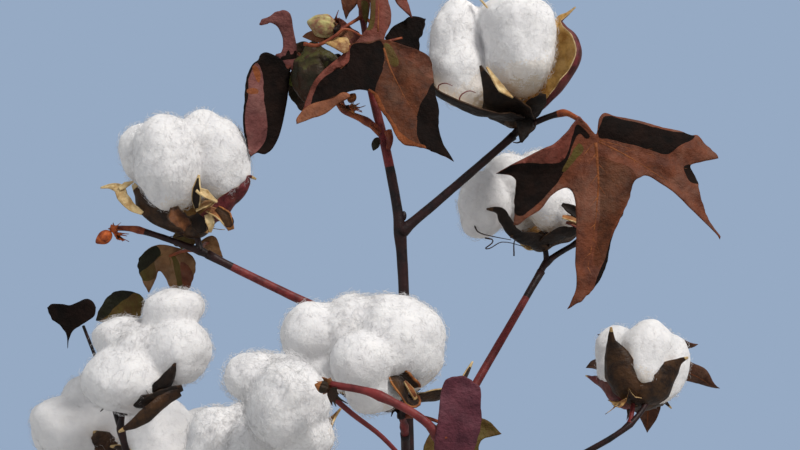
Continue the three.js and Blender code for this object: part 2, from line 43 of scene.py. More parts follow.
# The plant's own layout, the same as in the solids
stemLine = [(0, 0, 0), (4, 3, 260), (7, -3, 520), (4, 0, 790), (0, 0, 905), (-7.5, 0, 949), (-16, 0, 984)]
shownBranches = {
    "right_high": {"root": 905, "tip": (60.5, 0, 956.8), "sag": 0, "twig": [(64, 0, 960), (85.5, -6, 968), (93, -13, 964)]},
    "left_high": {"root": 849, "tip": (-100.6, -9.6, 893.6), "sag": 3,
                  "twig": [(-104.2, -10, 895.1), (-136, -12, 906), (-150, -14, 907)]},
    "right_back": {"root": 765, "tip": (81.5, 52.6, 885), "sag": 0, "twig": [(85.2, 55, 890.4), (104, 63, 902), (122, 72, 913)]},
    "front_right": {"root": 733, "tip": (2.4, -48, 806), "sag": -4, "twig": [(2, -52, 810), (1, -60, 816)]},
    "front_left": {"root": 700, "tip": (-32, -90, 773), "sag": -4, "twig": [(-33, -95, 779), (-31, -114, 797)]},
    "front_low": {"root": 655, "tip": (10, -140, 778), "sag": -6,
                  "twig": [(12, -160, 800), (13.6, -178, 823), (-7.4, -174, 837), (-26, -170, 841)]},
    "left_low": {"root": 612, "tip": (-136, -35, 790), "sag": 26, "twig": [(-137.5, -37, 806), (-137, -37, 814)]},
}
tipTwigs = {
    "tip": {"start": (-16, 0, 983), "twig": [(-17.5, -1, 1001), (-20, -1, 1021), (-22.5, 0, 1040)]},
    "side_shoot": {"start": (-9.5, 0, 958.5), "twig": [(-18, -4, 964), (-29.5, -8, 969.5), (-36, -8, 978)]},
}
growingRule = {"count": 15, "top": 724, "low": 168, "firstTurn": 24, "turnPerNode": 137.5, "upperReach": 95, "lowerReach": 140,
               "upperRise": 24, "lowerRise": 15, "internode": 58, "internodeLoss": 0.12, "firstInternode": 0.35, "zigzag": 24,
               "twigLift": 4, "sag": 4, "bollWidth": 62, "bollHeight": 52, "bollStalk": 15, "bollTurn": 40, "bollRise": 58,
               "bollLoss": 0.07, "petiole": 40, "leafLength": 72, "leafTurn": 72, "leafRise": 14, "leafDroop": 48,
               "leafFaceRise": 42, "leafLoss": 0.1, "leafShare": 0.8, "space": 5, "stemSpace": 18,
               "turnSpread": 9, "riseSpread": 5, "reachSpread": 0.12, "bollSpread": 0.12, "bollTurnSpread": 25, "bollRiseSpread": 16,
               "bollBed": 7, "bollCup": 0.62, "bollHalf": 0.53, "leafSpread": 0.2, "leafTurnSpread": 20, "leafRiseSpread": 14,
               "droopTurnSpread": 30, "droopSpread": 20, "faceSpread": 40, "curlSpread": 0.16, "plainBay": 0.58,
               "leafLobes": [(-112, 0.52, 1), (-56, 0.82, -1), (0, 1, 1), (56, 0.82, -1), (112, 0.52, 1)]}


def carpel(line, width, face=(0, -0.9, 0.4), bend=(0.6, 0.6), outer="burOuter", inner="burInner", rim=None):
    return {"line": line, "width": width, "face": face, "bend": bend, "outer": outer, "inner": inner,
            "rim": rim or ("burOuter" if outer == "burDark" else "burRim")}


# Bolls in full view. A lock is its middle from the boll's own, half its width, half its height and how far its top
# leans to the right; low is how far down the lint takes a light and then a deeper painted shade, from -1 at the top to
# 1. A carpel's line runs from the boll's base to its tip, with its half widths, the way its inside faces, the bend of
#    each margin and the
# finishes outside, inside and on its rim. Small curled pieces of the bur are drawn the same way. A bract is its turn,
# its reach, how far it rises and its finish; a thread is its line, its radius and its finish.
shownBolls = [
    {"on": "right_high", "at": 0, "base": (64, 0, 963), "middle": (49.5, 0, 1001), "width": 68,
     "locks": [
         (-18.5, -4, 12.6, 12.4, 16.5, 0), (-19, -6, -9.5, 14.2, 18, 0), (-18.6, -5, 2, 11.8, 15, 0), (10.6, -8, 15.5, 18.6, 13.6, 0),
         (13, -9, -3.4, 18.8, 21.5, 0), (11.8, -8.5, 7, 18.4, 16, 0), (-2, 12, 4, 18, 23, 0), (-9, -4, -20, 12, 11, 0)],
     "low": (0.42, 0.7),
     "carpels": [
         # its inside is painted light over its own gold
         carpel([(3, -1, 3.7), (9, -3, 9), (15.5, -6, 15.5), (21.5, -8, 24), (26, -9, 32.5), (26, -8, 40), (21.5, -7, 48.5),
             (20.8, -6, 54), (24.8, -7, 57.5), (28.7, -8, 61.2)], [7, 10, 13, 16, 17, 15, 8.5, 3, 1.2, 0.3], (-0.5, -0.8, 0.1),
             (2.0, 0.5), "burRed", "burGold"),
         carpel([(0, -2, 1.2), (-6, -10, 5.6), (-12.5, -19, 9.6), (-17.4, -24, 15.4), (-20.5, -25, 21), (-22.9, -25, 26.6)],
             [9, 12.5, 10.5, 4.6, 2.2, 0.4], (0.2, 0.9, 0.4), (0.5, -0.8), "burDark"),
         # its inside is painted shade, the shaded lint in the cup
         carpel([(-2, -6, 1.2), (-20, -13, 2.8), (-33, -15, 6.2), (-42, -14, 11.2), (-47.1, -11, 18.8), (-48.5, -9, 25.8)],
             [9, 12, 11, 9, 6, 0.6], (0.25, -0.08, 1), (0.8, 0.5), "burDark", "lintCream"),
         carpel([(1, -3, 0), (5, -11, 5), (8, -17, 9), (10, -20, 13)], [6, 6, 4.5, 1.5], (-0.2, 0.8, 0.6), (0.6, 0.6), "burDark"),
         carpel([(0, 3, 0), (0, 18, 6), (0, 30, 18), (-2, 33, 34), (-2, 38, 42)], [8, 13, 11, 5, 0.5]),
         carpel([(-19.7, -27, 25.5), (-16, -28, 19.4), (-12.6, -28, 14.2), (-6.4, -27, 9.8)], [0.5, 1.5, 2.5, 0.3], (0.2, -0.9, 0.4),
             (0.7, 0.7), "burRim", "burRim"),
         # a dark sheet of painted shade under the boll
         carpel([(0, -6, 4), (1, -9, -3.5), (-0.3, -9, -11)], [6, 5, 0.4], (0.2, -0.9, 0.1), (0.8, 0.8), "burDark", "burDark",
             "burDark")], "bracts": [(20, 9, 5, "bractDark")],
     "threads": [
         ([(-44.2, -15, 16.1), (-43.7, -17, 17.9), (-40.7, -19, 18.6), (-36.9, -20, 17.1)], 0.4, "barkRed"),
         ([(-33.4, -19, 8.1), (-33.2, -21, 10.9), (-31.5, -22, 12.8), (-28.2, -22, 14.1), (-25, -21, 13.3)], 0.4, "barkRed"),
         ([(-24.4, -15, 67), (-21.5, -17.5, 62), (-18.6, -20, 57.6)], 0.8, "burRim"),
         ([(3.4, -9, -6), (6.6, -9, -3.3), (7.4, -9, 0)], 0.7, "bractDark"),
         ([(-0.6, -8, -10.4), (-2.4, -8, -11), (-4.6, -8, -10.7)], 0.5, "bractDark")]},
    {"on": "left_high", "at": 0, "base": (-105.9, -10, 903.4), "middle": (-113, -10, 941), "width": 70,
     "locks": [
         (-22, 2, 5.5, 12.4, 15.8, 0), (-6.1, -10, -0.6, 17.5, 24.8, -0.12), (20.6, -2, 0.3, 15, 20.3, 0),
         (9.8, -1, 13.4, 13.2, 14.2, -0.3), (2, 12, 0, 17, 19, 0)],
     "carpels": [
         carpel([(0, 0, 0.5), (-11, -8, 4.3), (-20.5, -11, 9.1), (-26.9, -11, 14.7), (-29.3, -9, 21), (-31.7, -8, 25.9)],
             [6, 8, 7, 6, 4, 1.5], (0.35, 0.75, 0.55), (0.7, 0.7)),
         carpel([(-24.9, -16, 10.3), (-30.9, -15, 13.9), (-35.3, -13, 18.7), (-37.7, -11, 22.7), (-42.5, -9, 24.7), (-48.4, -8, 24.1)],
             [1, 2.3, 2.7, 2.9, 1.5, 0.3], (0.3, -0.9, 0.3), (0.9, -0.6), "burInner", "burRim"),
         carpel([(-37.7, -12, 23.1), (-34.5, -12, 25.1), (-30.7, -11, 27.1)], [1.2, 1.7, 0.3], (0, -0.9, 0.3), (0.7, 0.7), "burInner",
             "burRim"),
         carpel([(3, -17, 13), (3.4, -20, 17), (4, -22.5, 22.5), (4.8, -23, 29.4)], [1.2, 2.5, 2.2, 0.3], (0, 0.9, 0.4), (-0.7, -1.0),
             "burDark", rim="burRim"),
         carpel([(-2.6, -14, 3.5), (-7, -18, 8.5), (-8.4, -18, 13.5)], [3.6, 5.4, 2.2], (0, -0.9, 0.3), (1.1, 1.1), "burOuter",
             "bractBrown", "burOuter"),
         carpel([(13, -16, 13), (17.5, -17, 9), (20, -15, 2)], [1.6, 3.4, 1.6], (0.1, -0.9, 0.4), (-1.2, 1.3), "podTan", "burOuter",
             "podTan"),
         carpel([(3.8, -22.5, 21.9), (8.2, -22.5, 19.5), (13.8, -20, 15.9)], [1.4, 2.5, 0.4], (0, -0.9, 0.5), (0.9, 0.9), "burInner",
             "burRim"),
         carpel([(3.4, -3, 5.1), (12.2, -7, 10.7), (18.6, -8, 17), (23.4, -7, 21.9), (26.6, -6, 26.7), (27.8, -6, 29.8),
             (31.4, -5, 28.9)], [5, 6.5, 5.5, 3.8, 2.2, 1, 0.3], (-0.4, 0.7, 0.6), (0.8, 0.6), "burRed"),
         carpel([(2.6, -17, 12.3), (7.4, -19, 14.7), (12.2, -18, 17.1)], [1.5, 3, 0.8], (0.1, -0.9, 0.4), (1.3, -1.1), "podTan",
             "bractTan"),
         carpel([(8.2, -15, 12.3), (14.6, -16, 9.1), (18.2, -14, 3.5)], [2.5, 3.4, 1], (0.2, -0.9, 0.2), (1.4, -0.9), "burOuter",
             "podTan"),
         carpel([(8.2, -15, 9.9), (9.8, -16, 5.9), (9.4, -15, 0.7)], [2, 2.5, 0.4], (-0.1, -0.9, 0.2), (0.5, 0.9), "burInner", "burRim"),
         # a dark sheet of painted shade in the cup under the lint
         carpel([(0.2, -12, 9.1), (3.6, -13, 5.1), (5.4, -12, 0.8)], [3, 4, 1.5], (0, -0.9, 0.1), (0.6, 0.6), "burDark", "burDark",
             "burDark"),
         carpel([(0, 3, 0), (-2, 16, 5), (-2, 26, 15), (0, 30, 24), (2, 36, 27)], [8, 12, 10, 5, 0.5])],
     "bracts": [(15, 12, 10, "bractTan"), (200, 12, 14, "bractDark")],
     "threads": [([(17, -16, 10), (20, -17, 9), (21.5, -17, 6), (20, -17, 3.5), (18, -16, 4)], 0.5, "bractDark")]},
    {"on": "right_back", "at": 0, "base": (85.2, 55, 899), "middle": (69, 57, 927), "width": 66,
     "locks": [
         (-21.3, -7, -4.2, 15.2, 19.2, 0), (-6.7, 2, 8.2, 14, 20, 0), (13, 4, 15.5, 13.5, 13.8, 0), (20.5, -5, -6.3, 14.6, 15, 0),
         (0, 13, 0, 17, 18, 0)],
     "carpels": [
         carpel([(-4.5, -8, 2.4), (-14.8, -14, 3.5), (-22, -18, 8.5), (-26.5, -20, 14.5), (-29.5, -21, 19.5), (-36.6, -21, 21)],
             [5, 5, 3.6, 4.2, 3, 0.3], (0.3, 0.8, 0.6), (0.7, 0.7), "burDark"),
         carpel([(0.2, -3, 0), (1.8, -11, 3.4), (5.9, -17, 7), (12.1, -19, 8.1), (16.2, -19, 11.2)], [7, 6.5, 4.5, 3.4, 1],
             (-0.2, 0.8, 0.6), (0.5, 0.5), "burDark"),
         carpel([(-2, -4, 0.5), (-9, -12, 3.4), (-16, -17, 5.6), (-23, -17, 5.4)], [6, 5, 3, 0.6], (0, 0.8, 0.6), (0.5, 0.5), "burDark"),
         carpel([(15.2, -19.5, 17.4), (11.1, -20.5, 20.5), (5.9, -20.5, 23.6)], [2.5, 3, 0.8], (-0.3, -0.9, 0.2), (0.8, 0.8), "burDark",
             "burDark", "burDark"),
         carpel([(5.9, -21, 16.4), (11.1, -21.5, 15.3), (16.2, -21, 13.2)], [1.2, 2.4, 1.5], (0, -0.9, 0.4), (1, -0.8), "burRed",
             "podTan"),
         carpel([(8, -21, 13.2), (12, -21.5, 12.4), (16.2, -21, 10.1)], [0.6, 1.5, 1.2], (0, -0.9, 0.2), (0.8, 0.8), "burRed",
             "leafPeach", "burRed"),
         carpel([(2, 0, 0), (14, 0, 5), (24, 2, 13), (28, 2, 22), (34, 2, 27)], [8, 11, 9, 5, 0.5], (-0.6, 0, 0.7), (0.7, 0.7)),
         carpel([(0, 3, 0), (-4, 16, 4), (-6, 26, 12), (-6, 30, 22), (-6, 36, 26)], [8, 12, 10, 5, 0.5])],
     "bracts": [(320, 10, 8, "bractDark")],
     "threads": [
         ([(-43.3, -15, 12.7), (-41, -16, 8.2), (-33.6, -15, 5.9), (-21.9, -11, 3.8)], 0.45, "bractDark"),
         ([(-37, -15, 4.8), (-32.7, -17, 3), (-36.7, -17, -1.5), (-27.6, -17, 2.4), (-14, -9, 0)], 0.45, "bractDark"),
         ([(-20.9, -17, -5.5), (-20.3, -17, 3.6), (-15, -11, 5)], 0.45, "bractDark")]},
    {"on": "front_right", "at": 1, "base": (-1, -66, 822), "middle": (-16, -74, 850), "width": 78,
     "locks": [
         (-25, 2, 5, 15, 14.5, 0), (14.6, 2, 0.4, 23, 23, 0), (-1.4, -16, -6.6, 13.8, 13.6, 0), (-7, 5, 7.5, 17.5, 16, 0),
         (3, -9, -20, 12, 11, 0), (-20, 6, -12, 15, 13, 0)],
     "carpels": [
         carpel([(3, -8, 1), (4, -18, 5), (3, -24, 10), (-1, -24, 15), (-5.5, -23, 19.5)], [5, 7, 7, 5, 0.5], (0.1, -0.8, 0.5),
             (1.1, 1.1), "burDark", "burOuter", "podTan"),
         carpel([(-4, -23.5, 15), (-4.4, -24.5, 18.5), (-2.4, -24, 22)], [0.8, 1.6, 0.4], (0.1, -0.9, 0.2), (0.9, -0.6), "podTan",
             "podOrange"),
         carpel([(3, -25, 13), (6, -25.5, 9), (8, -24, 5)], [0.5, 1.3, 0.8], (0.1, -0.9, 0.2), (0.9, -0.6), "podTan", "podTan"),
         carpel([(2, 0, 0), (16, -2, 2), (26, -4, 6), (32, -3, 13), (35, -2, 20)], [7, 9, 7, 4, 0.5], (-0.6, 0.3, 0.7), (0.7, 0.7)),
         carpel([(0, 3, 0), (-4, 16, 4), (-6, 28, 14), (-6, 32, 24), (-6, 38, 28)], [8, 12, 10, 5, 0.5]),
         carpel([(-2, 0, 0), (-18, 2, 1), (-30, 6, 7), (-36, 10, 14), (-44, 12, 19)], [8, 11, 9, 5, 0.5], (0.5, 0, 0.8), (0.7, 0.7))],
     "bracts": [(10, 13, -8, "bractDark"), (290, 11, -20, "bractDark")]},
    {"on": "front_left", "at": 0, "base": (-62, -84, 785), "middle": (-70, -94, 808), "width": 45, "turn": 250, "cup": 0.5,
     "carpel": 0.58, "locks": [(-11.5, 0, 0, 12.5, 15, 0), (8, -5, -2, 15, 16.5, 0), (0, 9, 3, 13, 14, 0)]},
    {"on": "front_left", "at": 1, "base": (-37, -130, 809), "middle": (-49, -142, 832), "width": 42, "turn": 160, "cup": 0.35,
     "carpel": 0.45,
     "locks": [(-10.8, 2, 9.5, 10.8, 10.5, 0), (5, -5, -1, 16.2, 17, 0), (0, 8, 5, 13, 13, 0), (13, -3, -14, 10.5, 8.5, 0)]},
    {"on": "left_low", "at": 1, "base": (-136.5, -36, 818), "middle": (-128, -23, 845), "width": 68,
     "locks": [
         (12.5, 3, 20.3, 16, 10.5, 0), (17.9, -7, -0.6, 16.4, 16.4, 0), (-13.3, 5, 5.5, 15.6, 9.8, 0), (-8.4, -6, -14.7, 22.8, 17, 0),
         (0, 11, -2, 17, 17, 0), (-1, -2, -1, 16, 14, 0)], "low": (2, 2),
     "carpels": [
         carpel([(14.6, -6, 3.8), (20.9, -9, 9.4), (25.2, -11, 15.8), (27.3, -11, 21.8)], [4, 5, 3.4, 0.4], (-0.5, 0.7, 0.4), (0.8, 0.8),
             "burDark"),
         carpel([(28.8, -6, 7.3), (19.6, -10, 1.2), (10.5, -12, -6.4), (0.6, -12, -11.3)], [3, 4.6, 3.8, 0.4], (-0.3, 0.9, 0.5),
             (0.8, 0.8), "burOuter", "podTan"),
         carpel([(0, -2, 0), (12, -8, 1), (22, -8, 5), (30, -5, 9)], [5, 6, 5, 2], (-0.2, 0.7, 0.7), (0.6, 0.6), "burDark"),
         carpel([(0, 4, 0), (4, 14, 4), (6, 22, 12), (6, 24, 20)], [8, 11, 8, 0.6]),
         carpel([(0, 2, 0), (-10, 8, 2), (-18, 14, 8), (-22, 16, 15)], [7, 8, 6, 0.6], (0.4, -0.6, 0.6))],
     "bracts": [(200, 13, -14, "bractDark")],
     "threads": [([(14, -12, -1), (12, -15, 4), (15.5, -16, 6.5), (14, -14, 9)], 0.3, "bractDark")]},
]

# Leaves in full view. Corners are [turn from the middle, reach, hang towards the face]; hang may be left out. A tone is
# a patch of the blade in another finish, drawn in turns and reaches, such as painted shade where a fold's underside
# lies in shadow. Ribs are the lines of its main veins, and stalkTo is where the stalk ends if that isn't the joint.
shownLeaves = [
    {"on": "right_high", "at": 2, "joint": (100.4, -20, 952.5), "aim": (92.8, -24, 868.3), "face": (0, -1, 0.1), "front": "leafRust",
     "corners": [
         (-171, 2.5), (-135, 13.9, 2), (-121, 13.8, 3), (-92, 15.9, 6), (-73, 23.8, 10), (-71, 27.8, 12), (-66, 43, 15),
         (-63.5, 57, 17), (-60.5, 50.5, 14), (-56, 48.3, 11), (-50, 52, 9), (-43, 57.5, 8), (-38.5, 62.5, 8), (-37, 61, 8),
         (-36, 55.9, 8), (-33, 46.9, 6), (-33, 38.4, 4), (-30, 32.5, 2), (-25, 29.3, 1), (-17, 30.8), (-11, 38.2), (-7, 50.7),
         (-5, 64.2), (-3, 76.9), (-4, 83.4), (-5, 89.1), (-3, 86.8), (0, 82.7), (3, 77.9, -1), (7, 70.6, -1),
         (10, 63.6, -2), (13, 53.8, -2), (16, 48.6, -1), (23, 41.6), (33, 35.4), (45, 29.9), (53, 30.1), (60, 33, -2),
         (61, 41.2, -2), (60, 49.5, -1), (58, 59.6), (57, 69.7, 1), (56, 77.8, 2), (55, 81.2, 3), (56, 80.4, 2), (58, 73.8),
         (62, 66.8, -2), (67, 61.2, -3), (74, 57.3, -6), (78, 53.7, -8), (81, 52, -8), (84, 56.6, -10), (88, 66.8, -14), (90, 65.4, -14),
         (95, 59, -13), (99, 55.2, -12), (99, 52.3, -12), (102, 45.2, -9), (106, 36.5, -7), (116, 26.5, -5), (128, 20.8, -4),
         (146, 16.1, -3), (165, 14.6, -3), (173, 11.2, -2), (174, 6.8), (169, 2.6)],
     "tones": [
         ("leafRed", [(-135, 14.6), (-123, 15), (-94, 17), (-74, 25), (-71, 29), (-68, 43), (-64, 58), (-61.5, 55), (-64, 41),
                 (-56, 28.9), (-51, 21.5), (-60, 16), (-86, 12.2), (-118, 12.2)]),
         ("leafUnder", [(-118, 12.2), (-124, 9.1), (-106, 3.2), (-82, 4.8), (-99, 8.7), (-77, 11.4), (-52, 16.8), (-39, 24.3),
                 (-36, 30.3), (-36, 38.9), (-37, 48.5), (-40.5, 58), (-50, 54), (-57, 50.5), (-61, 54), (-63.8, 57), (-64.5, 43),
                 (-56, 28.8), (-51, 21.4), (-59, 16.7), (-86, 12.6)]),
         ("leafOlive", [(-68, 8.9), (-44, 8.3), (-39, 16.5), (-38, 23.7), (-41, 24.5), (-46, 19.9), (-52, 15.4), (-60, 11.8)]),
         ("leafUnder", [(130, 2), (164, 9.5), (161, 13.2), (132, 18), (112, 27), (102, 41), (98.5, 53.6), (95, 50), (91, 43.9),
                 (85, 39.7), (83, 36.3), (84, 28.6), (87, 17.4), (93, 7.1)]),
         ("leafUnder", [(79, 48.7), (81, 54), (74, 60), (71, 55), (75, 49.8)]),
         ("leafBrown", [(12, 10), (40, 14), (54, 26), (38, 33), (22, 41), (15, 47), (10, 60), (4.5, 66), (5.5, 50), (9, 30)]),
         ("leafUnder", [(15, 50), (19, 50), (13, 60), (9, 68), (4, 79), (4.5, 73), (8, 64), (11, 57)])],
     "ribs": [
         [(11, 2.1), (9, 12.8), (8, 23.9), (5, 36.8), (3, 51.5), (1, 66.2), (-1, 78.3)],
         [(52, 2.3), (67, 15.2), (66, 29.8), (64, 46.3), (60, 63.8), (57, 75)],
         [(-19, 2.8), (-31, 13), (-31, 22.7), (-31, 34), (-34, 46.2)], [(75, 2.3), (80, 12.9), (80, 31.8), (84, 47.8)]], "puff": 1.5,
     "wave": 1.6},
    {"on": "left_high", "at": 0, "joint": (-124.4, 12, 893), "aim": (-136.3, 18, 874), "face": (0.1, -1, 0.2), "front": "leafPale",
     "vein": "leafOlive",
     "corners": [
         (-96, 9.6), (-55, 16.8), (-38, 20.1), (-19, 21.5), (0, 24.3), (-2, 15.4), (-5, 10.5), (20, 12.9), (31, 17.7), (47, 22.5),
         (66, 19.8), (108, 14.8), (135, 10.5), (172, 6.5)],
     "tones": [
         ("leafDark", [(-96, 10.5), (-55, 17.8), (-38, 21), (-24, 20), (-34, 12), (-75, 5)]),
         ("leafOlive", [(-24, 22), (-4, 15), (-40, 9), (-75, 4), (-34, 12)]),
         ("leafOlive", [(170, 1), (60, 3), (47, 12), (46, 20), (60, 18), (80, 8), (130, 3)]),
         ("leafRust", [(100, 8), (80, 19), (66, 21.5), (52, 24), (60, 14)])],
     "ribs": [[(20, 1), (40, 8), (47, 14), (47, 20)], [(-20, 1), (-12, 10), (-6, 18)]], "puff": 1.0, "wave": 1.2},
    {"on": "left_high", "at": 0, "joint": (-104.2, 14, 900.1), "aim": (-97.2, 18, 891.5), "face": (0.2, -1, 0.2), "front": "leafPale",
     "corners": [(-132, 6.1), (-88, 3.9), (-20, 6.8), (5, 11.7), (25, 7.2), (84, 5.1), (131, 3.8)], "puff": 0.8, "wave": 0.8},
    {"on": "left_high", "at": 0, "joint": (-116, 10, 903), "aim": (-122, 12, 903), "face": (0, -1, 0.4), "front": "leafOlive",
     "stalk": False, "corners": [(-150, 8), (-90, 4.5), (-20, 7), (20, 8), (70, 6.5), (120, 7.5), (160, 9)], "puff": 0.4, "wave": 0.8},
    {"on": "front_right", "at": 1, "joint": (24, -70, 812), "aim": (38, -76, 776), "face": (0.3, -1, 0.2), "front": "leafOlive",
     "corners": [
         (-180, 5), (-84, 15, 1), (-62, 24, 2), (-40, 15, 1), (-17, 24), (0, 39), (17, 24), (40, 15, 1), (62, 24, 2),
         (84, 15, 1)], "puff": 1.2, "wave": 2},
    {"on": "front_low", "at": 1, "joint": (17, -179, 822), "aim": (22, -181, 845), "face": (0.1, -1, 0), "front": "leafPurple",
     "vein": "leafPurple",
     "corners": [
         (-175, 12), (-154, 14.5), (-115, 11.3), (-81, 10.9), (-56, 13.3), (-34, 17.6), (-21, 22), (-11, 23.8), (0, 23.6), (10, 22.6),
         (16, 19.9), (22, 14.5), (46, 6.2), (95, 4.4), (154, 7)], "ribs": [[(-160, 6), (-90, 2), (-20, 6), (-6, 14), (-4, 21)]],
     "puff": 1.0, "wave": 1.4},
    # painted shade: this leaf's whole face is near-black, as it lies in shadow
    {"on": "left_low", "at": 0, "joint": (-167.7, -14, 864.1), "aim": (-171.6, -12, 845), "face": (-0.2, -1, 0.2), "front": "leafUnder",
     "stalkTo": (-165, -8, 856),
     "corners": [
         (149, 8.5), (129, 10.3), (112, 11.5), (90, 11.1), (47, 8.1), (7, 10.6), (-1, 15.4), (0, 19.9), (-13, 11.8), (-57, 12.7),
         (-73, 15.1), (-83, 16.4), (-93, 13.1), (-103, 8.2), (-125, 4), (-176, 4.1)], "puff": 0.8, "wave": 1.2},
    {"on": "left_low", "at": 1, "joint": (-148.1, 2, 867.3), "aim": (-152.2, 0, 857.8), "face": (0.2, -1, 0.3), "front": "leafOlive",
     "stalkTo": (-147, 6, 860),
     "corners": [
         (-138, 7.3), (-95, 7.8), (-66, 9.1), (-41, 12.8), (-30, 15.3), (-11, 12.3), (24, 8.2), (79, 12.6), (127, 12.1), (158, 9.2)],
     "tones": [("leafDark", [(-139, 8.5), (-98, 9), (-66, 10.5), (-30, 17), (-22, 10), (-43, 2.7), (157, 6), (161, 10.5)])], "puff": 0.8,
     "wave": 1.2},
    {"on": "tip", "at": 0, "joint": (-9, -22, 1002.5), "aim": (26.6, -34, 940.1), "face": (-0.1, -1, 0.1), "front": "leafBrown",
     "corners": [
         (168, 1.3), (59, 5.3), (48, 12.5, -1), (45, 19.7, -2), (41, 25.6, -3), (33, 28.5, -3), (24, 32.1, -4), (15, 38.4, -4),
         (9, 46.3, -3), (3, 53.4, -3), (0, 62.8, -2), (0, 68.9, -2), (0, 74, -2), (-2, 69.9, -1), (-7, 63.5), (-13, 58.7),
         (-18, 56.2), (-21, 51.7), (-24, 44.3), (-31, 36.3), (-40, 28.5, 1), (-50, 28.1, 2), (-59, 31, 3), (-64, 34.8, 4),
         (-69, 40.1, 5), (-73, 45.7, 7), (-74, 51, 9), (-74, 58, 10), (-77, 51.6, 10), (-80, 48.2, 9), (-84, 44.3, 8), (-88, 37, 7),
         (-94, 27.8, 5), (-101, 21.2, 3), (-113, 16.8, 2), (-119, 6.9, 1)],
     "tones": [
         ("leafRed", [(-120, 18), (-101, 22.5), (-94, 29), (-88.5, 38.5), (-84.5, 46), (-80, 50), (-76, 54), (-75, 50.2), (-80, 44.6),
                 (-84, 38.7), (-86, 30.1), (-87, 20.7), (-110, 16)]),
         ("leafUnder", [(-126, 0.8), (-112, 6.9), (-114, 14.4), (-106, 16.8), (-87, 20.7), (-86, 30.1), (-84, 38.7), (-80, 44.6),
                 (-75, 50.2), (-73, 54), (-71.5, 46.5), (-67.5, 41), (-62.5, 35.5), (-57.5, 32), (-50, 29.5), (-39.5, 30), (-35, 22.3),
                 (-29, 15.3), (-24, 7.5)]),
         ("leafUnder", [(21, 34.2), (9, 36.4), (-2, 40.7), (-8, 47.8), (-10, 56.2), (-8, 61.9), (-3, 69), (0, 76), (1.5, 63.3), (6, 53.7),
                 (11, 46.5), (18, 38.6)]),
         ("leafOlive", [(3, 1.4), (36, 4), (14, 10), (4, 15.3), (-6, 15.2), (-13, 11.7), (-18, 7.5)]),
         ("leafOrange", [(-44, 27.2), (-35, 28.4), (-27, 36.3), (-21, 45), (-18, 50.5), (-13, 56), (-8, 61), (-11, 62.5), (-18, 58),
                 (-21, 53.2), (-25, 46.2), (-31, 38)]),
         ("leafRust", [(28, 10), (45, 16), (38, 26), (24, 32), (24, 20)])],
     "ribs": [
         [(-17, 3.6), (-14, 14.3), (-10, 24.8), (-8, 34.5), (-6, 42.5), (-6, 47)], [(50, 3), (34, 12), (26, 22), (22, 29)],
         [(-100, 4), (-88, 16), (-84, 30), (-80, 44)]], "puff": 1.5, "wave": 1.4},
    # painted shade: this leaf's whole face is near-black, as it lies in shadow
    {"on": "tip", "at": 0, "joint": (1.1, 3, 1010), "aim": (13.5, 6, 1019.4), "face": (0, -1, 0.2), "front": "leafUnder",
     "corners": [(141, 9.3), (92, 7.7), (53, 9.1), (26, 13.9), (3, 17.1), (-33, 10.9), (-43, 9.2), (-78, 12.5), (-105, 5.2), (160, 7.7)],
     "puff": 0.8, "wave": 1.2},
    {"on": "tip", "at": 1, "joint": (-11.5, -16, 1008), "aim": (-11.5, -14, 1038), "face": (0.2, -1, 0), "front": "leafRed",
     "corners": [
         (-161, 5), (119, 15.8, 2), (97, 8.5), (55, 6.5), (19, 13.9, 2), (11, 24, 2), (0, 38), (-9, 26, -2), (-19, 17.9, -2),
         (-30, 14, -3), (-46, 9.7, -3), (-85, 4)],
     "tones": [("leafOlive", [(75, 7.5), (19, 15), (10, 25), (5, 26), (8, 12.9), (42, 4)])], "puff": 1.2, "wave": 1.6},
    {"on": "tip", "at": 2, "joint": (-25.7, -2, 1033.7), "aim": (-28.7, -4, 1018.7), "face": (-0.2, -1, 0), "front": "leafBrown",
     "corners": [(-170, 2.5), (-70, 4.9), (-36, 7.7), (-16, 10.5), (0, 15.8), (7, 11.9), (26, 9), (58, 5.4), (98, 2.8)], "puff": 0.8,
     "wave": 1.6},
    {"on": "tip", "at": 2, "joint": (-18, -6, 1030.6), "aim": (-18, -8, 1014.5), "face": (0.3, -1, 0), "front": "leafRust",
     "corners": [(-110, 2.4), (-61, 6), (-29, 8.9), (-11, 11.6), (2, 16.1), (9, 10), (34, 3.8), (113, 2)],
     "tones": [("leafOlive", [(-40, 4), (-20, 8), (0, 15), (6, 10), (10, 4)])], "puff": 0.8, "wave": 2.4},
    {"on": "tip", "at": 2, "joint": (-0.5, 2, 1034.8), "aim": (6.4, 0, 1021.3), "face": (0.3, -1, 0.2), "front": "leafRed",
     "corners": [(-130, 2.4), (-51, 5.7), (-28, 8.5), (-9, 12.2), (0, 16), (7, 10.8), (20, 6.3), (70, 3.4)], "puff": 0.8, "wave": 1.5},
    {"on": "tip", "at": 1, "joint": (-27.2, -34, 974.5), "aim": (-51.7, -40, 958.4), "face": (0, -1, 0.3), "front": "leafPeach",
     "stalk": False,
     "corners": [(-7, 25.1), (-12, 19.5), (-9, 7.1), (-42, 1.5), (103, 2.7), (25, 6.9), (15, 15.3), (7, 21.9), (2, 30.1), (-3, 28.4)],
     "puff": 0.5, "wave": 1},
    # the body of the closed boll, mostly painted shade with a green patch
    {"on": "side_shoot", "at": 2, "joint": (-36, -1, 985), "aim": (-55, 2, 960), "face": (0, -1, 0.1), "front": "podDark", "stalk": False,
     "corners": [
         (-98, 29.5), (-110, 26), (-125, 15.3), (-161, 15.2), (-144, 5), (-40, 11.3), (-12, 16), (-9, 21.9), (-23, 22.9), (-38, 24.6),
         (-55, 23.9), (-73, 22.7)], "tones": [("podGreen", [(-66, 18), (-50, 15), (-46, 21), (-58, 24)])], "puff": 1, "wave": 2},
    {"on": "side_shoot", "at": 2, "joint": (-15, -8, 1012), "aim": (-30, -8, 1000), "face": (0, -1, 0.1), "front": "leafRed",
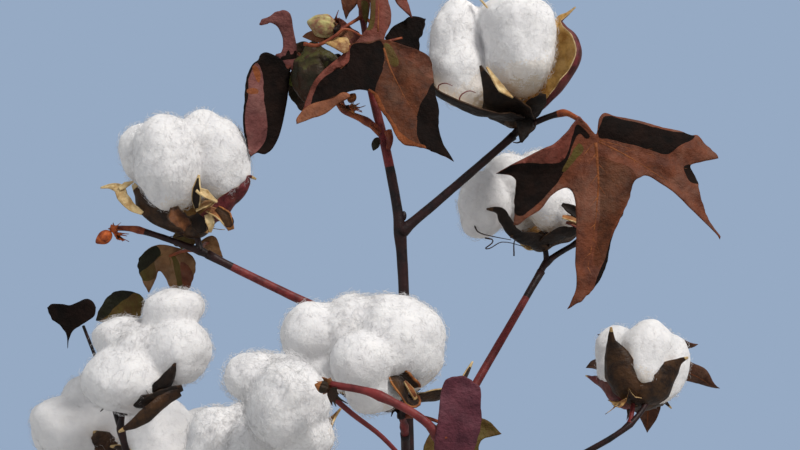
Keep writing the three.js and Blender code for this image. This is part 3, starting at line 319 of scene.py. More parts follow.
     "stalk": False,
     "corners": [
         (-54, 22.3), (-59, 17.1), (-45, 10.6), (-24, 6.5), (-1, 11.2), (4, 17.5), (-9, 20.1), (-23, 21.4), (-29, 25.6), (-40, 21.5)],
     "tones": [("leafPeach", [(-45, 14), (-20, 10), (-18, 17), (-38, 19)])], "puff": 0.6, "wave": 2},
    {"on": "side_shoot", "at": 2, "joint": (-20, -13, 1006), "aim": (-45, -14, 1004), "face": (0, -1, 0.3), "front": "leafPeach",
     "stalk": False,
     "corners": [(-13, 28.7), (-19, 22.2), (-22, 16), (-11, 12.3), (25, 6), (41, 10.8), (20, 13.3), (2, 19.9), (-2, 26), (-7, 30.6)],
     "tones": [("leafBrown", [(-10, 13), (10, 10), (8, 15), (-6, 20)]), ("bractTan", [(28, 5), (44, 11.5), (18, 14), (10, 9)])],
     "puff": 0.5, "wave": 1.6},
    {"on": "side_shoot", "at": 2, "joint": (-31.2, -26, 1000.6), "aim": (-38.2, -28, 1000.6), "face": (0.1, -1, 0.5), "front": "bractTan",
     "stalk": False, "corners": [(-134, 6.7), (-72, 3.9), (-6, 7.3), (38, 3.6), (111, 5.8), (140, 5.7), (-163, 5.7)], "puff": 0.3,
     "wave": 1},
    {"on": "side_shoot", "at": 2, "joint": (-54, -8, 1004), "aim": (-77, -14, 1020), "face": (0, -1, 0), "front": "leafMauve",
     "vein": "leafMauve", "stalk": False,
     "corners": [
         (9, 22.4), (2, 22.5), (-15, 20.5), (-28, 20), (-38, 18), (-41, 14.5), (-39, 9.1), (-29, 3), (110, 2), (119, 8.1), (115, 14.4),
         (106, 13.1), (81, 12.4), (70, 13.8), (60, 13.1), (60, 9.5), (28, 7.7), (2, 10.2), (-6, 14.3), (-3, 17.7), (4, 20.2)],
     "tones": [("leafUnder", [(78, 8.6), (65, 5.5), (92, 6), (100, 3), (119, 6.6), (93, 9.1), (76, 12), (73, 10)])], "puff": 0.8,
     "wave": 1},
    # painted shade: this leaf's face is near-black, as it lies in shadow, apart from its tones
    {"on": "side_shoot", "at": 2, "joint": (-54, -6, 1000), "aim": (-77, -12, 945), "face": (0, -1, 0), "front": "leafUnder",
     "corners": [
         (-136, 5.3), (-13, 5.8), (4, 13.4, -1), (10, 22.7, -2), (11, 29.2, -3), (11, 43.6, -3), (9, 52.2, -3), (6, 56.8, -2),
         (2, 58), (0, 62), (-7, 53.7, 3), (-14, 46.4, 5), (-22, 38.3, 6), (-36, 30.7, 6), (-48, 24.7, 5), (-52, 21.1, 4),
         (-60, 19.3, 3), (-64, 16.5, 2), (-52, 10.7, 1), (-19, 7.3)],
     "tones": [
         ("leafMauve", [(-48, 23), (-41, 21.3), (-29, 23.2), (-10, 32.1), (1, 42.1), (3.5, 49.8), (2, 57), (0, 61), (-6, 53.2),
                 (-13, 45.9), (-25, 34), (-34.5, 30)]),
         ("leafOrange", [(-46, 25), (-39, 22.6), (-27, 26.4), (-31, 26.8)]),
         ("leafOrange", [(-27.5, 33.9), (-23, 29.4), (-19, 30.8), (-25, 35)]),
         ("leafRed", [(-30, 5), (-10, 4), (-6, 10), (-24, 9)])], "ribs": [[(-60, 8), (-30, 14), (-4, 26), (2, 40), (3, 52)]],
     "vein": "leafUnder", "puff": 0.8, "wave": 1.2},
]
shownPods = [
    {"on": "left_high", "at": 2, "base": (-149, -14, 905), "middle": (-153, -15, 902), "width": 7, "height": 9, "slot": "podOrange",
     "lowPaintedShadeSlot": "podOrange", "bracts": [(180, 8, -10, "podOrange"), (230, 7, -40, "podOrange"), (300, 6, -60, "podOrange")]},
    {"on": "right_back", "at": 2, "base": (122, 72, 913), "middle": (127, 73, 921), "width": 12, "height": 16, "slot": "podGreen",
     "lowPaintedShadeSlot": "podDark"},
    {"on": "front_low", "at": 3, "base": (-26, -170, 839), "middle": (-29, -170.5, 840), "width": 5, "height": 6, "slot": "podTan",
     "lowPaintedShadeSlot": "podDark", "bracts": [(80, 7, 60, "podTan"), (250, 7, -60, "podDark")],
     "threads": [([(-26.5, -168, 837), (-18.3, -167, 829.8), (-6.6, -165, 820.5), (4, -161, 808), (11, -158, 797)], 1.25, "barkRed")]},
    {"on": "tip", "at": 2, "base": (-22.5, 0, 1040), "middle": (-24, 0, 1049), "width": 11, "height": 16, "slot": "podGreen",
     "lowPaintedShadeSlot": "podDark"},
    {"on": "tip", "at": 1, "base": (-31.4, -14, 1010.5), "middle": (-40.6, -15, 1012.6), "width": 12.5, "height": 15, "slot": "podPale",
     "lowPaintedShadeSlot": "podPale", "bracts": [(20, 9, 30, "leafRed"), (100, 8, 40, "leafBrown"), (260, 8, 10, "leafPeach")],
     "threads": [
         ([(-49.3, -24, 1001), (-41.9, -26, 1000), (-33.2, -27, 1004.5), (-28.1, -26, 1008.3), (-19.6, -22, 1005.6)], 1.0,
             "barkOrange")]},
    {"on": "side_shoot", "at": 2, "base": (-41, -10, 970), "middle": (-43.5, -10, 987), "width": 27, "height": 35, "slot": "podOlive",
     "lowPaintedShadeSlot": "podDark", "bracts": [(250, 16, 40, "podDark"), (320, 15, 45, "podDark"), (200, 15, 50, "leafUnder")]},
    {"on": "side_shoot", "at": 1, "base": (-28, -9, 971.5), "middle": (-25.1, -12, 975), "width": 4.5, "height": 6, "slot": "podTan",
     "lowPaintedShadeSlot": "podTan",
     "bracts": [(330, 8, 20, "podOrange"), (20, 7, 30, "podTan"), (200, 7, 10, "podOrange"), (270, 6, -10, "leafPeach")]},
    {"on": "side_shoot", "at": 0, "base": (-11.1, -5, 956.5), "middle": (-12.8, -7, 951.5), "width": 4.6, "height": 8, "slot": "podDark",
     "lowPaintedShadeSlot": "podDark", "threads": [([(-6.4, -6, 958.5), (-5.2, -7, 954), (-6.2, -6, 949)], 2.3, "barkOrange")]},
]


def unit(v):
    return np.asarray(v, float) / max(np.linalg.norm(v), 1e-9)


def turned(degrees, rise):
    turn, lift = math.radians(degrees), math.radians(rise)
    return np.array([math.cos(turn) * math.cos(lift), math.sin(turn) * math.cos(lift), math.sin(lift)])


def blendOf(a, b, share):
    return a + (b - a) * share


seedWaves, seedScale = (127.1, 311.7, 74.7), 43758.5453


def chance(branch, item, question):  # the same seeded number as in the solids
    wave = math.sin(branch * seedWaves[0] + item * seedWaves[1] + question * seedWaves[2]) * seedScale
    return wave - math.floor(wave)


def spreadBy(amount, branch, item, question):
    return amount * (2 * chance(branch, item, question) - 1)


def softNoise(points, size, seed=0):  # smooth noise from -1 to 1 for a whole array of points
    spot = np.asarray(points, float) / size + seed * 17.31
    corner = np.floor(spot)
    part = spot - corner
    ease = part * part * (3 - 2 * part)
    total = np.zeros(spot.shape[:-1])
    for number in range(8):
        step = np.array([number & 1, number >> 1 & 1, number >> 2 & 1])
        wave = np.sin((corner + step) @ np.array(seedWaves)) * seedScale
        total += (2 * (wave - np.floor(wave)) - 1) * np.prod(np.where(step == 1, ease, 1 - ease), axis=-1)
    return total


def curvePlace(p1, m1, p2, m2, t):  # from p1 to p2, with the curve's direction at each
    return (2 * t**3 - 3 * t**2 + 1) * p1 + (t**3 - 2 * t**2 + t) * m1 + (3 * t**2 - 2 * t**3) * p2 + (t**3 - t**2) * m2


def curveThrough(points, steps):  # a smooth line through the points, steps samples between each two
    points = [np.asarray(p, float) for p in points]
    out = []
    for i in range(len(points) - 1):
        p1, p2 = points[i], points[i + 1]
        p0 = points[i - 1] if i > 0 else 2 * p1 - p2
        p3 = points[i + 2] if i + 2 < len(points) else 2 * p2 - p1
        length = np.linalg.norm(p2 - p1)
        m1, m2 = unit(p2 - p0) * length, unit(p3 - p1) * length
        out += [curvePlace(p1, m1, p2, m2, step / steps) for step in range(steps)]
    out.append(points[-1])
    return np.array(out)


def stemCurve():  # the solids' own centripetal curve, as a table by height
    points = [np.array(p, float) for p in stemLine]
    rows = []
    for i in range(len(points) - 1):
        p1, p2 = points[i], points[i + 1]
        p0 = points[i - 1] if i > 0 else 2 * points[0] - points[1]
        p3 = points[i + 2] if i + 2 < len(points) else 2 * points[-1] - points[-2]
        d0, d1, d2 = (math.sqrt(np.linalg.norm(b - a)) for a, b in ((p0, p1), (p1, p2), (p2, p3)))
        m1 = ((p1 - p0) / d0 - (p2 - p0) / (d0 + d1) + (p2 - p1) / d1) * d1
        m2 = ((p2 - p1) / d1 - (p3 - p1) / (d1 + d2) + (p3 - p2) / d2) * d1
        for t in np.linspace(0, 1, 60, endpoint=i == len(points) - 2):
            rows.append(p1 + m1 * t + (-3 * p1 + 3 * p2 - 2 * m1 - m2) * t**2 + (2 * p1 - 2 * p2 + m1 + m2) * t**3)
    return np.array(rows)


stemTable = stemCurve()


def stemPoint(height):
    return np.array([np.interp(height, stemTable[:, 2], stemTable[:, axis]) for axis in (0, 1)] + [height])


def branchPoints(branch, steps=4):
    start, end = stemPoint(branch["root"]), np.array(branch["tip"], float)
    shares = np.linspace(0, 1, steps + 1)[:, None]
    points = start + (end - start) * shares
    points[:, 2] -= (branch["sag"] * 4 * shares * (1 - shares))[:, 0]
    return points


def growingBranch(order):  # one of the lower branches, laid out by the plant's rule
    rule = growingRule
    share = order / (rule["count"] - 1)
    root = blendOf(rule["top"], rule["low"], share)
    turn = rule["firstTurn"] + order * rule["turnPerNode"] + spreadBy(rule["turnSpread"], order, 0, 1)
    rise = blendOf(rule["upperRise"], rule["lowerRise"], share) + spreadBy(rule["riseSpread"], order, 0, 2)
    reach = blendOf(rule["upperReach"], rule["lowerReach"], share) * (1 + spreadBy(rule["reachSpread"], order, 0, 3))
    tip = stemPoint(root) + turned(turn, rise) * reach
    branch = {"name": f"lower_{order + 1}", "root": root, "tip": tip, "sag": rule["sag"], "twig": [], "bolls": [], "leaves": []}
    hand = 1 if order % 2 == 0 else -1
    node = tip
    for item in range(3):
        swing = hand if item % 2 == 0 else -hand
        length = rule["internode"] * (rule["firstInternode"] if item == 0 else 1 - rule["internodeLoss"] * item)
        node = node + turned(turn + swing * rule["zigzag"], rise + rule["twigLift"] * item) * length
        branch["twig"].append(node)
        branch["bolls"].append(growingBoll(order, item, node, turn - swing * rule["bollTurn"]))
        if chance(order, item, 8) <= rule["leafShare"]:
            branch["leaves"].append(growingLeaf(order, item, node, turn + swing * rule["leafTurn"]))
    return branch


def growingBoll(order, item, node, turn):
    rule = growingRule
    size = 1 + spreadBy(rule["bollSpread"], order, item, 4) - rule["bollLoss"] * item
    lean = turned(turn + spreadBy(rule["bollTurnSpread"], order, item, 5),
                  rule["bollRise"] + spreadBy(rule["bollRiseSpread"], order, item, 6))
    base = node + lean * rule["bollStalk"]
    middle = base + lean * (rule["bollHeight"] * size * 0.5 + rule["bollBed"])
    return {"at": item, "base": base, "middle": middle, "width": rule["bollWidth"] * size, "height": rule["bollHeight"] * size,
            "turn": 360 * chance(order, item, 7), "cup": rule["bollCup"], "carpel": rule["bollCup"]}


def growingLeaf(order, item, node, turn):
    rule = growingRule
    size = 1 + spreadBy(rule["leafSpread"], order, item, 9) - rule["leafLoss"] * item
    out = turned(turn + spreadBy(rule["leafTurnSpread"], order, item, 10),
                 rule["leafRise"] + spreadBy(rule["leafRiseSpread"], order, item, 11))
    joint = node + out * rule["petiole"] * size
    droop = turned(turn + spreadBy(rule["droopTurnSpread"], order, item, 12),
                   -rule["leafDroop"] + spreadBy(rule["droopSpread"], order, item, 13))
    reach = rule["leafLength"] * size
    face = turned(turn + spreadBy(rule["faceSpread"], order, item, 14), rule["leafFaceRise"])
    curl = reach * spreadBy(rule["curlSpread"], order, item, 15)
    return {"at": item, "joint": joint, "aim": joint + droop * reach, "face": face, "reach": reach, "curl": curl,
            "corners": lobedCorners([(a, reach * b, curl * c) for a, b, c in rule["leafLobes"]])}


lobeShape = {"notchReach": 0.09, "baseTurn": 22, "baseReach": 0.55, "baseHang": 0.3, "shoulderTurn": 9, "shoulderReach": 0.74,
             "shoulderHang": 0.55, "bayReach": 0.5}


def lobedCorners(lobes):  # a whole leaf's outline from its lobes: shoulders beside each tip and a rounded bay between two
    shape = lobeShape

    def beside(lobe, way, kind):
        turn, reach, hang = lobe
        return turn + way * shape[kind + "Turn"], reach * shape[kind + "Reach"], hang * shape[kind + "Hang"]

    corners = [(-180, max(lobe[1] for lobe in lobes) * shape["notchReach"], 0), beside(lobes[0], -1, "base")]
    for number, lobe in enumerate(lobes):
        corners += [beside(lobe, -1, "shoulder"), lobe, beside(lobe, 1, "shoulder")]
        if number + 1 < len(lobes):
            after = lobes[number + 1]
            corners.append(((lobe[0] + after[0]) / 2, min(lobe[1], after[1]) * shape["bayReach"], (lobe[2] + after[2]) / 4))
    return corners + [beside(lobes[-1], 1, "base")]


def lineOf(branch):
    return [*branchPoints(branch), *[np.asarray(node, float) for node in branch["twig"]]]


def distanceToLine(point, line):
    nearest = math.inf
    for a, b in zip(line, line[1:]):
        along = b - a
        share = min(max(np.dot(point - a, along) / np.dot(along, along), 0), 1)
        nearest = min(nearest, np.linalg.norm(a + along * share - point))
    return nearest


def keepsSpace(points, own, others):
    for point in points:
        home = distanceToLine(point, own) + growingRule["space"]
        if math.hypot(point[0], point[1]) <= growingRule["stemSpace"] or any(distanceToLine(point, line) <= home for line in others):
            return False
    return True


def bollReach(boll):
    up, across = bollAxes(boll)
    points = [boll["middle"], boll["middle"] + up * boll["height"] * 0.5]
    half = growingRule["bollHalf"]
    return points + [boll["middle"] + across(boll["turn"] + order * 90) * boll["width"] * half for order in range(4)]


def leafReach(leaf):  # tested on the solids' plain outline, so that the same leaves stay
    joint, forward, side, face = leafAxes(leaf)
    reach, curl, points, lobes = leaf["reach"], leaf["curl"], [leaf["joint"]], growingRule["leafLobes"]
    plain = [(-180, reach * lobeShape["notchReach"], 0)] + [(turn, reach * share, curl * way) for turn, share, way in lobes]
    for lobe, after in zip(lobes, lobes[1:]):
        bay = reach * min(lobe[1], after[1]) * growingRule["plainBay"]
        plain.append(((lobe[0] + after[0]) / 2, bay, curl * (lobe[2] + after[2]) / 4))
    for turn, length, hang in plain:
        a = math.radians(turn)
        points.append(joint + forward * math.cos(a) * length + side * math.sin(a) * length + face * hang)
    return points


def bollAxes(boll):  # the boll's own upward direction, and its outward direction at any turn round it
    up = unit(np.asarray(boll["middle"], float) - boll["base"])
    axis = np.cross((0, 0, 1), up)
    lean = math.atan2(np.linalg.norm(axis), up[2])
    axis = unit(axis) if np.linalg.norm(axis) > 1e-9 else np.array([1.0, 0, 0])

    def across(degrees):
        flat = turned(degrees, 0)
        return flat * math.cos(lean) + np.cross(axis, flat) * math.sin(lean) + axis * np.dot(axis, flat) * (1 - math.cos(lean))

    return up, across


def leafAxes(leaf):
    joint = np.asarray(leaf["joint"], float)
    forward = unit(np.asarray(leaf["aim"], float) - joint)
    face = np.asarray(leaf["face"], float)
    face = unit(face - forward * np.dot(face, forward))
    return joint, forward, np.cross(face, forward), face


# Meshes are gathered in bags, one for each kind of thing, and each bag becomes one piece
def newBag():
    return {"points": [], "faces": [], "slots": [], "count": 0}


def addMesh(bag, points, faceLists):  # faceLists holds (faces, slot or slots) pairs
    for faces, slots in faceLists:
        faces = np.asarray(faces, np.int64)
        if len(faces) == 0:
            continue
        bag["faces"].append(faces + bag["count"])
        bag["slots"].append(np.full(len(faces), slotOrder[slots]) if isinstance(slots, str) else np.asarray(slots))
    bag["points"].append(np.asarray(points, float))
    bag["count"] += len(points)


def addShell(bag, grid, thickness, front, back, rim):  # a thin sheet with two faces and an edge
    rows, columns = grid.shape[:2]
    count = rows * columns
    normal = np.cross(np.gradient(grid, axis=1), np.gradient(grid, axis=0))
    length = np.linalg.norm(normal, axis=2, keepdims=True)
    average = unit(normal.reshape(-1, 3).sum(0))
    offset = np.where(length > 1e-6, normal / np.maximum(length, 1e-6), average) * (thickness / 2)
    points = np.concatenate([(grid + offset).reshape(-1, 3), (grid - offset).reshape(-1, 3)])
    cell = (np.arange(rows - 1)[:, None] * columns + np.arange(columns - 1)).ravel()
    quads = np.stack([cell, cell + 1, cell + columns + 1, cell + columns], axis=1)
    down, along = np.arange(rows - 1) * columns, np.arange(columns - 1)
    edges = []
    for first, step, way in ((down, columns, 1), (down + columns - 1, columns, -1), (along, 1, -1), (along + count - columns, 1, 1)):
        second = first + step
        edges.append(np.stack([first, second, second + count, first + count], axis=1)[:, ::way])
    addMesh(bag, points, [(quads, front), (quads[:, ::-1] + count, back), (np.concatenate(edges), rim)])


def addTube(bag, line, radii, sides, slot, relief=0, reliefSize=3, stretch=None):  # a closed round limb along a line
    line = np.asarray(line, float)
    count = len(line)
    radii = np.broadcast_to(np.asarray(radii, float), (count,))
    tangents = np.gradient(line, axis=0)
    tangents /= np.maximum(np.linalg.norm(tangents, axis=1, keepdims=True), 1e-9)
    side = unit(np.cross(tangents[0], (0.31, 0.94, 0.13)))
    rings = []
    for number in range(count):
        side = unit(side - tangents[number] * np.dot(side, tangents[number]))
        other = np.cross(tangents[number], side)
        turns = np.arange(sides) * 2 * math.pi / sides
        rings.append(line[number] + radii[number] * (np.cos(turns)[:, None] * side + np.sin(turns)[:, None] * other))
    grid = np.array(rings)
    if relief:
        out = grid - line[:, None, :]
        out /= np.maximum(np.linalg.norm(out, axis=2, keepdims=True), 1e-9)
        spot = grid if stretch is None else grid * np.array(stretch)
        rough = softNoise(spot, reliefSize, 3) + 0.5 * softNoise(spot, reliefSize * 0.4, 5)
        grid = grid + out * (rough * relief)[..., None]
    points = np.concatenate([grid.reshape(-1, 3), line[:1], line[-1:]])
    i = np.arange(count - 1)[:, None]
    j = np.arange(sides)[None, :]
    after = (j + 1) % sides
    quads = np.stack([i * sides + j, i * sides + after, (i + 1) * sides + after, (i + 1) * sides + j], axis=-1).reshape(-1, 4)
    j = np.arange(sides)
    low = np.stack([np.full(sides, count * sides), (j + 1) % sides, j], axis=1)
    top = (count - 1) * sides
    high = np.stack([np.full(sides, count * sides + 1), top + j, top + (j + 1) % sides], axis=1)
    if isinstance(slot, str):
        slots, ends = slot, (slot, slot)
    else:
        each = np.array([slotOrder[name] for name in slot])[: count - 1]
        slots, ends = np.repeat(each, sides), (np.full(sides, each[0]), np.full(sides, each[-1]))
    addMesh(bag, points, [(quads, slots), (low, ends[0]), (high, ends[1])])


ballCache = {}


def ball(cuts):  # a unit ball of small triangles, each side of the twenty-sided one cut so many times
    if cuts not in ballCache:
        work = bmesh.new()
        bmesh.ops.create_icosphere(work, subdivisions=1, radius=1)
        corners = np.array([v.co for v in work.verts])
        sides = [[v.index for v in f.verts] for f in work.faces]
        work.free()
        points, faces = [], []
        for a, b, c in sides:
            start = len(points)
            rowStart = [start + row * (cuts + 1) - row * (row - 1) // 2 for row in range(cuts + 2)]
            for row in range(cuts + 1):
                for column in range(cuts + 1 - row):
                    points.append(corners[a] * (cuts - row - column) + corners[b] * column + corners[c] * row)
            for row in range(cuts):
                for column in range(cuts - row):
                    here, above = rowStart[row] + column, rowStart[row + 1] + column
                    faces.append((here, here + 1, above))
                    if column < cuts - row - 1:
                        faces.append((here + 1, above + 1, above))
        points = np.array(points)
        points /= np.linalg.norm(points, axis=1, keepdims=True)
        merged, place = np.unique(np.round(points, 5) + 0.0, axis=0, return_inverse=True)
        ballCache[cuts] = (merged, place.reshape(-1)[np.array(faces)])
    return ballCache[cuts]


def pointNormals(points, faces):
    flat = np.cross(points[faces[:, 1]] - points[faces[:, 0]], points[faces[:, 2]] - points[faces[:, 0]])
    total = np.zeros_like(points)
    for corner in range(3):
        np.add.at(total, faces[:, corner], flat)
    return total / np.maximum(np.linalg.norm(total, axis=1, keepdims=True), 1e-9)


podValues = {"cuts": 10, "seamDepth": 0.16, "seamWidth": 0.09, "taper": 0.45, "beak": 0.25, "beakFrom": 0.7, "warp": 0.05, "warpSize": 4,
             "toneFrom": 0.35, "toneWarp": 0.4, "toneWarpSize": 5, "stalkRadius": 1.1}


def addPod(bag, pod, seed):  # a closed or just opening boll, with a seam between each two carpels and a pointed tip
    values = podValues
    base, middle = np.asarray(pod["base"], float), np.asarray(pod["middle"], float)
    up = unit(middle - base)
    side = unit(np.cross(up, (0.2, 0.9, 0.3)))
    other = np.cross(up, side)
    points, faces = ball(values["cuts"])
    turn = np.arctan2(points[:, 1], points[:, 0])
    seam = 1 - values["seamDepth"] * np.exp(-((np.abs(np.mod(turn * 2 / math.pi, 1) - 0.5)) / values["seamWidth"]) ** 2)
    pointed = 1 - values["taper"] * np.clip(points[:, 2], 0, 1) ** 2
    across = points[:, :2] * (seam * pointed)[:, None] * pod["width"] / 2
    rise = points[:, 2] * pod["height"] / 2 * (1 + values["beak"] * np.clip(points[:, 2] - values["beakFrom"], 0, 1))
    placed = middle + across[:, :1] * side + across[:, 1:] * other + rise[:, None] * up
    rough = softNoise(placed, values["warpSize"], seed)[:, None]
    placed += rough * points @ np.array([side, other, up]) * pod["width"] * values["warp"]
    # painted shade: a pod's lower part takes its low finish, darker than its lit top
    patch = softNoise(placed[faces].mean(axis=1), values["toneWarpSize"], seed + 1)
    height = points[faces].mean(axis=1)[:, 2] + values["toneWarp"] * patch
    upper, lower = slotOrder[pod["slot"]], slotOrder[pod.get("lowPaintedShadeSlot", pod["slot"])]
    addMesh(bag, placed, [(faces, np.where(height > values["toneFrom"], upper, lower))])


# Lint: one soft skin over all the locks of a boll, with loose fibres lying on it and standing off it
lintValues = {"clump": 1.5, "clumpSize": 11, "tuft": 0.55, "tuftSize": 4.8, "smallTuft": 0.3, "smallTuftSize": 0.45, "fuzz": 0.1,
              "fuzzSize": 1.6, "alongShare": 0.3, "softness": 8, "leastReach": 0.4, "smoothing": 6, "toneWarp": 0.12, "toneWarpSize": 5,
              "fade": 0.08, "fibreLength": (2, 8), "fibreLift": (0.1, 1.5), "fibreRadius": 0.085, "fibreRise": 1.1, "fibreBend": 0.6,
              "fibreEnd": (-0.3, 1.6), "fibreRoot": 0.4}


def addLint(bag, fibreBag, middle, up, locks, low, cuts, fibreCount, seed):
    values = lintValues
    directions, faces = ball(cuts)
    reaches = []
    for offset, axis, halfWidth, halfHeight in locks:
        squeeze = np.eye(3) / halfWidth + np.outer(axis, axis) * (1 / halfHeight - 1 / halfWidth)
        ray, centre = directions @ squeeze, offset @ squeeze
        along, size = ray @ centre, (ray**2).sum(axis=1)
        inside = along**2 - size * (centre @ centre - 1)
        reach = np.where(inside > 0, along + np.sqrt(np.maximum(inside, 0)), 0) / size
        reaches.append(np.maximum(reach, halfWidth * values["leastReach"]))
    reach = (np.array(reaches) ** values["softness"]).sum(axis=0) ** (1 / values["softness"])
    shares = np.bincount(faces.ravel(), minlength=len(reach)) * 3
    for _ in range(values["smoothing"]):
        reach = np.bincount(faces.ravel(), weights=np.repeat(reach[faces].sum(axis=1), 3), minlength=len(reach)) / shares
    placed = middle + directions * reach[:, None]
    drawn = placed @ (np.eye(3) - values["alongShare"] * np.outer(up, up))
    swell = values["clump"] * softNoise(placed, values["clumpSize"], seed)
    swell += values["tuft"] * softNoise(drawn, values["tuftSize"], seed + 1)
    swell += values["tuft"] * values["smallTuft"] * softNoise(drawn, values["tuftSize"] * values["smallTuftSize"], seed + 2)
    swell += values["fuzz"] * softNoise(placed, values["fuzzSize"], seed + 3)
    placed = placed + directions * swell[:, None]
    # painted shade: the lint's lower faces take a light painted shade past the first low mark and a deeper one past the
    # second
    spot = placed[faces].mean(axis=1)
    depth = -(directions[faces].mean(axis=1) @ up) + values["toneWarp"] * softNoise(spot, values["toneWarpSize"], seed + 4)
    depth += values["fade"] * np.random.default_rng(seed + 70).uniform(-1, 1, len(faces))
    slots = np.where(depth > low[0], slotOrder["lintPaintedShade"], slotOrder["lintWhite"])
    slots = np.where(depth > low[1], slotOrder["lintCream"], slots)
    addMesh(bag, placed, [(faces, slots)])
    addFibres(fibreBag, placed, pointNormals(placed, faces), up, fibreCount, seed)


def addFibres(bag, points, normals, up, count, seed):  # each a slender closed spindle with a bend in its middle
    values = lintValues
    rng = np.random.default_rng(seed)
    pick = rng.integers(len(points), size=count)
    start, normal = points[pick], normals[pick]
    along = rng.normal(size=(count, 3)) + up * rng.choice([-values["fibreRise"], values["fibreRise"]], (count, 1))
    along -= normal * np.sum(along * normal, axis=1, keepdims=True)
    along /= np.linalg.norm(along, axis=1, keepdims=True)
    side = np.cross(along, normal)
    length = rng.uniform(*values["fibreLength"], (count, 1))
    lift = rng.uniform(*values["fibreLift"], (count, 1))
    first = start - normal * values["fibreRoot"]
    second = start + along * length * 0.5 + normal * lift
    bend = rng.uniform(-values["fibreBend"], values["fibreBend"], (count, 1))
    third = start + (along + side * bend) * length * 0.95 + normal * lift * rng.uniform(*values["fibreEnd"], (count, 1))
    rings = [first]
    for turn in (0, 120, 240):
        a = math.radians(turn)
        rings.append(second + (side * math.cos(a) + normal * math.sin(a)) * values["fibreRadius"])
    rings.append(third)
    cloud = np.stack(rings, axis=1).reshape(-1, 3)
    begin = (np.arange(count) * 5)[:, None]
    faces = np.concatenate([begin + np.array([corners]) for k in range(3)
                            for corners in ([0, 1 + k, 1 + (k + 1) % 3], [4, 1 + (k + 1) % 3, 1 + k])])
    addMesh(bag, cloud, [(faces, "lintWhite")])


# Burs: pointed dried carpels, pale inside and dark outside, over shrivelled bracts
burValues = {"thickness": 0.8, "warp": 1.1, "warpSize": 6, "fullWarpWidth": 6, "waver": 0.12, "bendWaver": 0.3, "leastBend": 0.1,
             "rimShare": 0.8, "tipShare": 0.9, "tipSpread": (0.12, 0.1), "tiltSpread": 0.35, "ruleBend": (0.8, 0.5), "outerShare": 0.7,
             "turnSpread": 8, "sizeSpread": 0.07, "calyxWidth": 0.12, "calyxHeight": 0.09, "calyxRise": 0.7,
             "outShares": (0.05, 0.26, 0.5, 0.72, 0.88, 1.05), "upShares": (-0.03, 0.03, 0.2, 0.46, 0.62, 0.66),
             "widthShares": (0.15, 0.31, 0.34, 0.23, 0.07, 0.014)}


def addPetal(bag, base, petal, across, alongSteps, seed):
    values = burValues
    line = curveThrough(np.asarray(petal["line"], float) + base, alongSteps)
    u = np.linspace(0, 1, len(line))
    width = np.interp(u, np.linspace(0, 1, len(petal["width"])), petal["width"])
    tangent = np.gradient(line, axis=0)
    tangent /= np.linalg.norm(tangent, axis=1, keepdims=True)
    side = np.cross(unit(petal["face"]), tangent)
    side /= np.maximum(np.linalg.norm(side, axis=1, keepdims=True), 1e-9)
    inside = np.cross(tangent, side)
    v = np.linspace(-1, 1, across)[:, None]

    def alongMargin(pace, apart, more):  # a noise that runs along each margin on its own
        return softNoise(np.stack(np.broadcast_arrays(u * pace, np.sign(v) * apart, u * 0 + seed), axis=-1), 1, seed + more)

    bend = np.where(v < 0, petal["bend"][0], petal["bend"][1]) + values["bendWaver"] * alongMargin(7, 9, 0)
    bend = np.where(np.abs(bend) < values["leastBend"], values["leastBend"], bend)
    spread = width * (1 + values["waver"] * alongMargin(9, 5, 1))
    angle = v * np.abs(bend)
    sideways, inward = np.sin(angle) / np.abs(bend) * spread, (1 - np.cos(angle)) / bend * spread
    grid = line + sideways[..., None] * side + inward[..., None] * inside
    warp = values["warp"] * softNoise(grid, values["warpSize"], seed + 2) * np.clip(width / values["fullWarpWidth"], 0, 1)
    grid = grid + warp[..., None] * inside
    edge = np.abs((v[1:] + v[:-1]) / 2) > values["rimShare"]
    tip = ((u[1:] + u[:-1]) / 2)[None, :] > values["tipShare"]
    inner, outer, rim = (slotOrder[petal[name]] for name in ("inner", "outer", "rim"))
    front = np.where(edge | tip, rim, inner).ravel()
    back = np.broadcast_to(np.where(tip, rim, outer), (across - 1, len(line) - 1))
    addShell(bag, grid, values["thickness"], front, back.ravel(), petal["rim"])


def ruleCarpel(boll, turn, reach, seed):
    values = burValues
    up, across = bollAxes(boll)
    out = across(turn)
    aside = np.cross(up, out)
    shares = zip(values["outShares"], values["upShares"])
    line = [out * a * reach + up * b * reach * boll["cup"] / growingRule["bollCup"] for a, b in shares]
    rise, swing = values["tipSpread"]
    line[-1] = line[-1] + up * reach * spreadBy(rise, seed, 1, 33) + aside * reach * spreadBy(swing, seed, 2, 33)
    tilt = spreadBy(values["tiltSpread"], seed, 3, 33)
    bend, bendSpread = values["ruleBend"]
    return carpel(line, [share * reach for share in values["widthShares"]], up - out * 0.5 + aside * tilt,
                  [bend + spreadBy(bendSpread, seed, item, 33) for item in (4, 5)],
                  "burOuter" if chance(seed, 6, 33) < values["outerShare"] else "burRed")


bractValues = {"reach": 0.3, "reachSpread": 0.25, "drop": -12, "dropSpread": 22, "turnSpread": 25, "fringes": 5, "fringeTurn": 32,
               "fringeLength": (0.8, 0.35), "fringeHang": 0.3, "bay": 0.5, "wave": 0.22, "thickness": 0.35, "steps": (1.0, 2.8)}


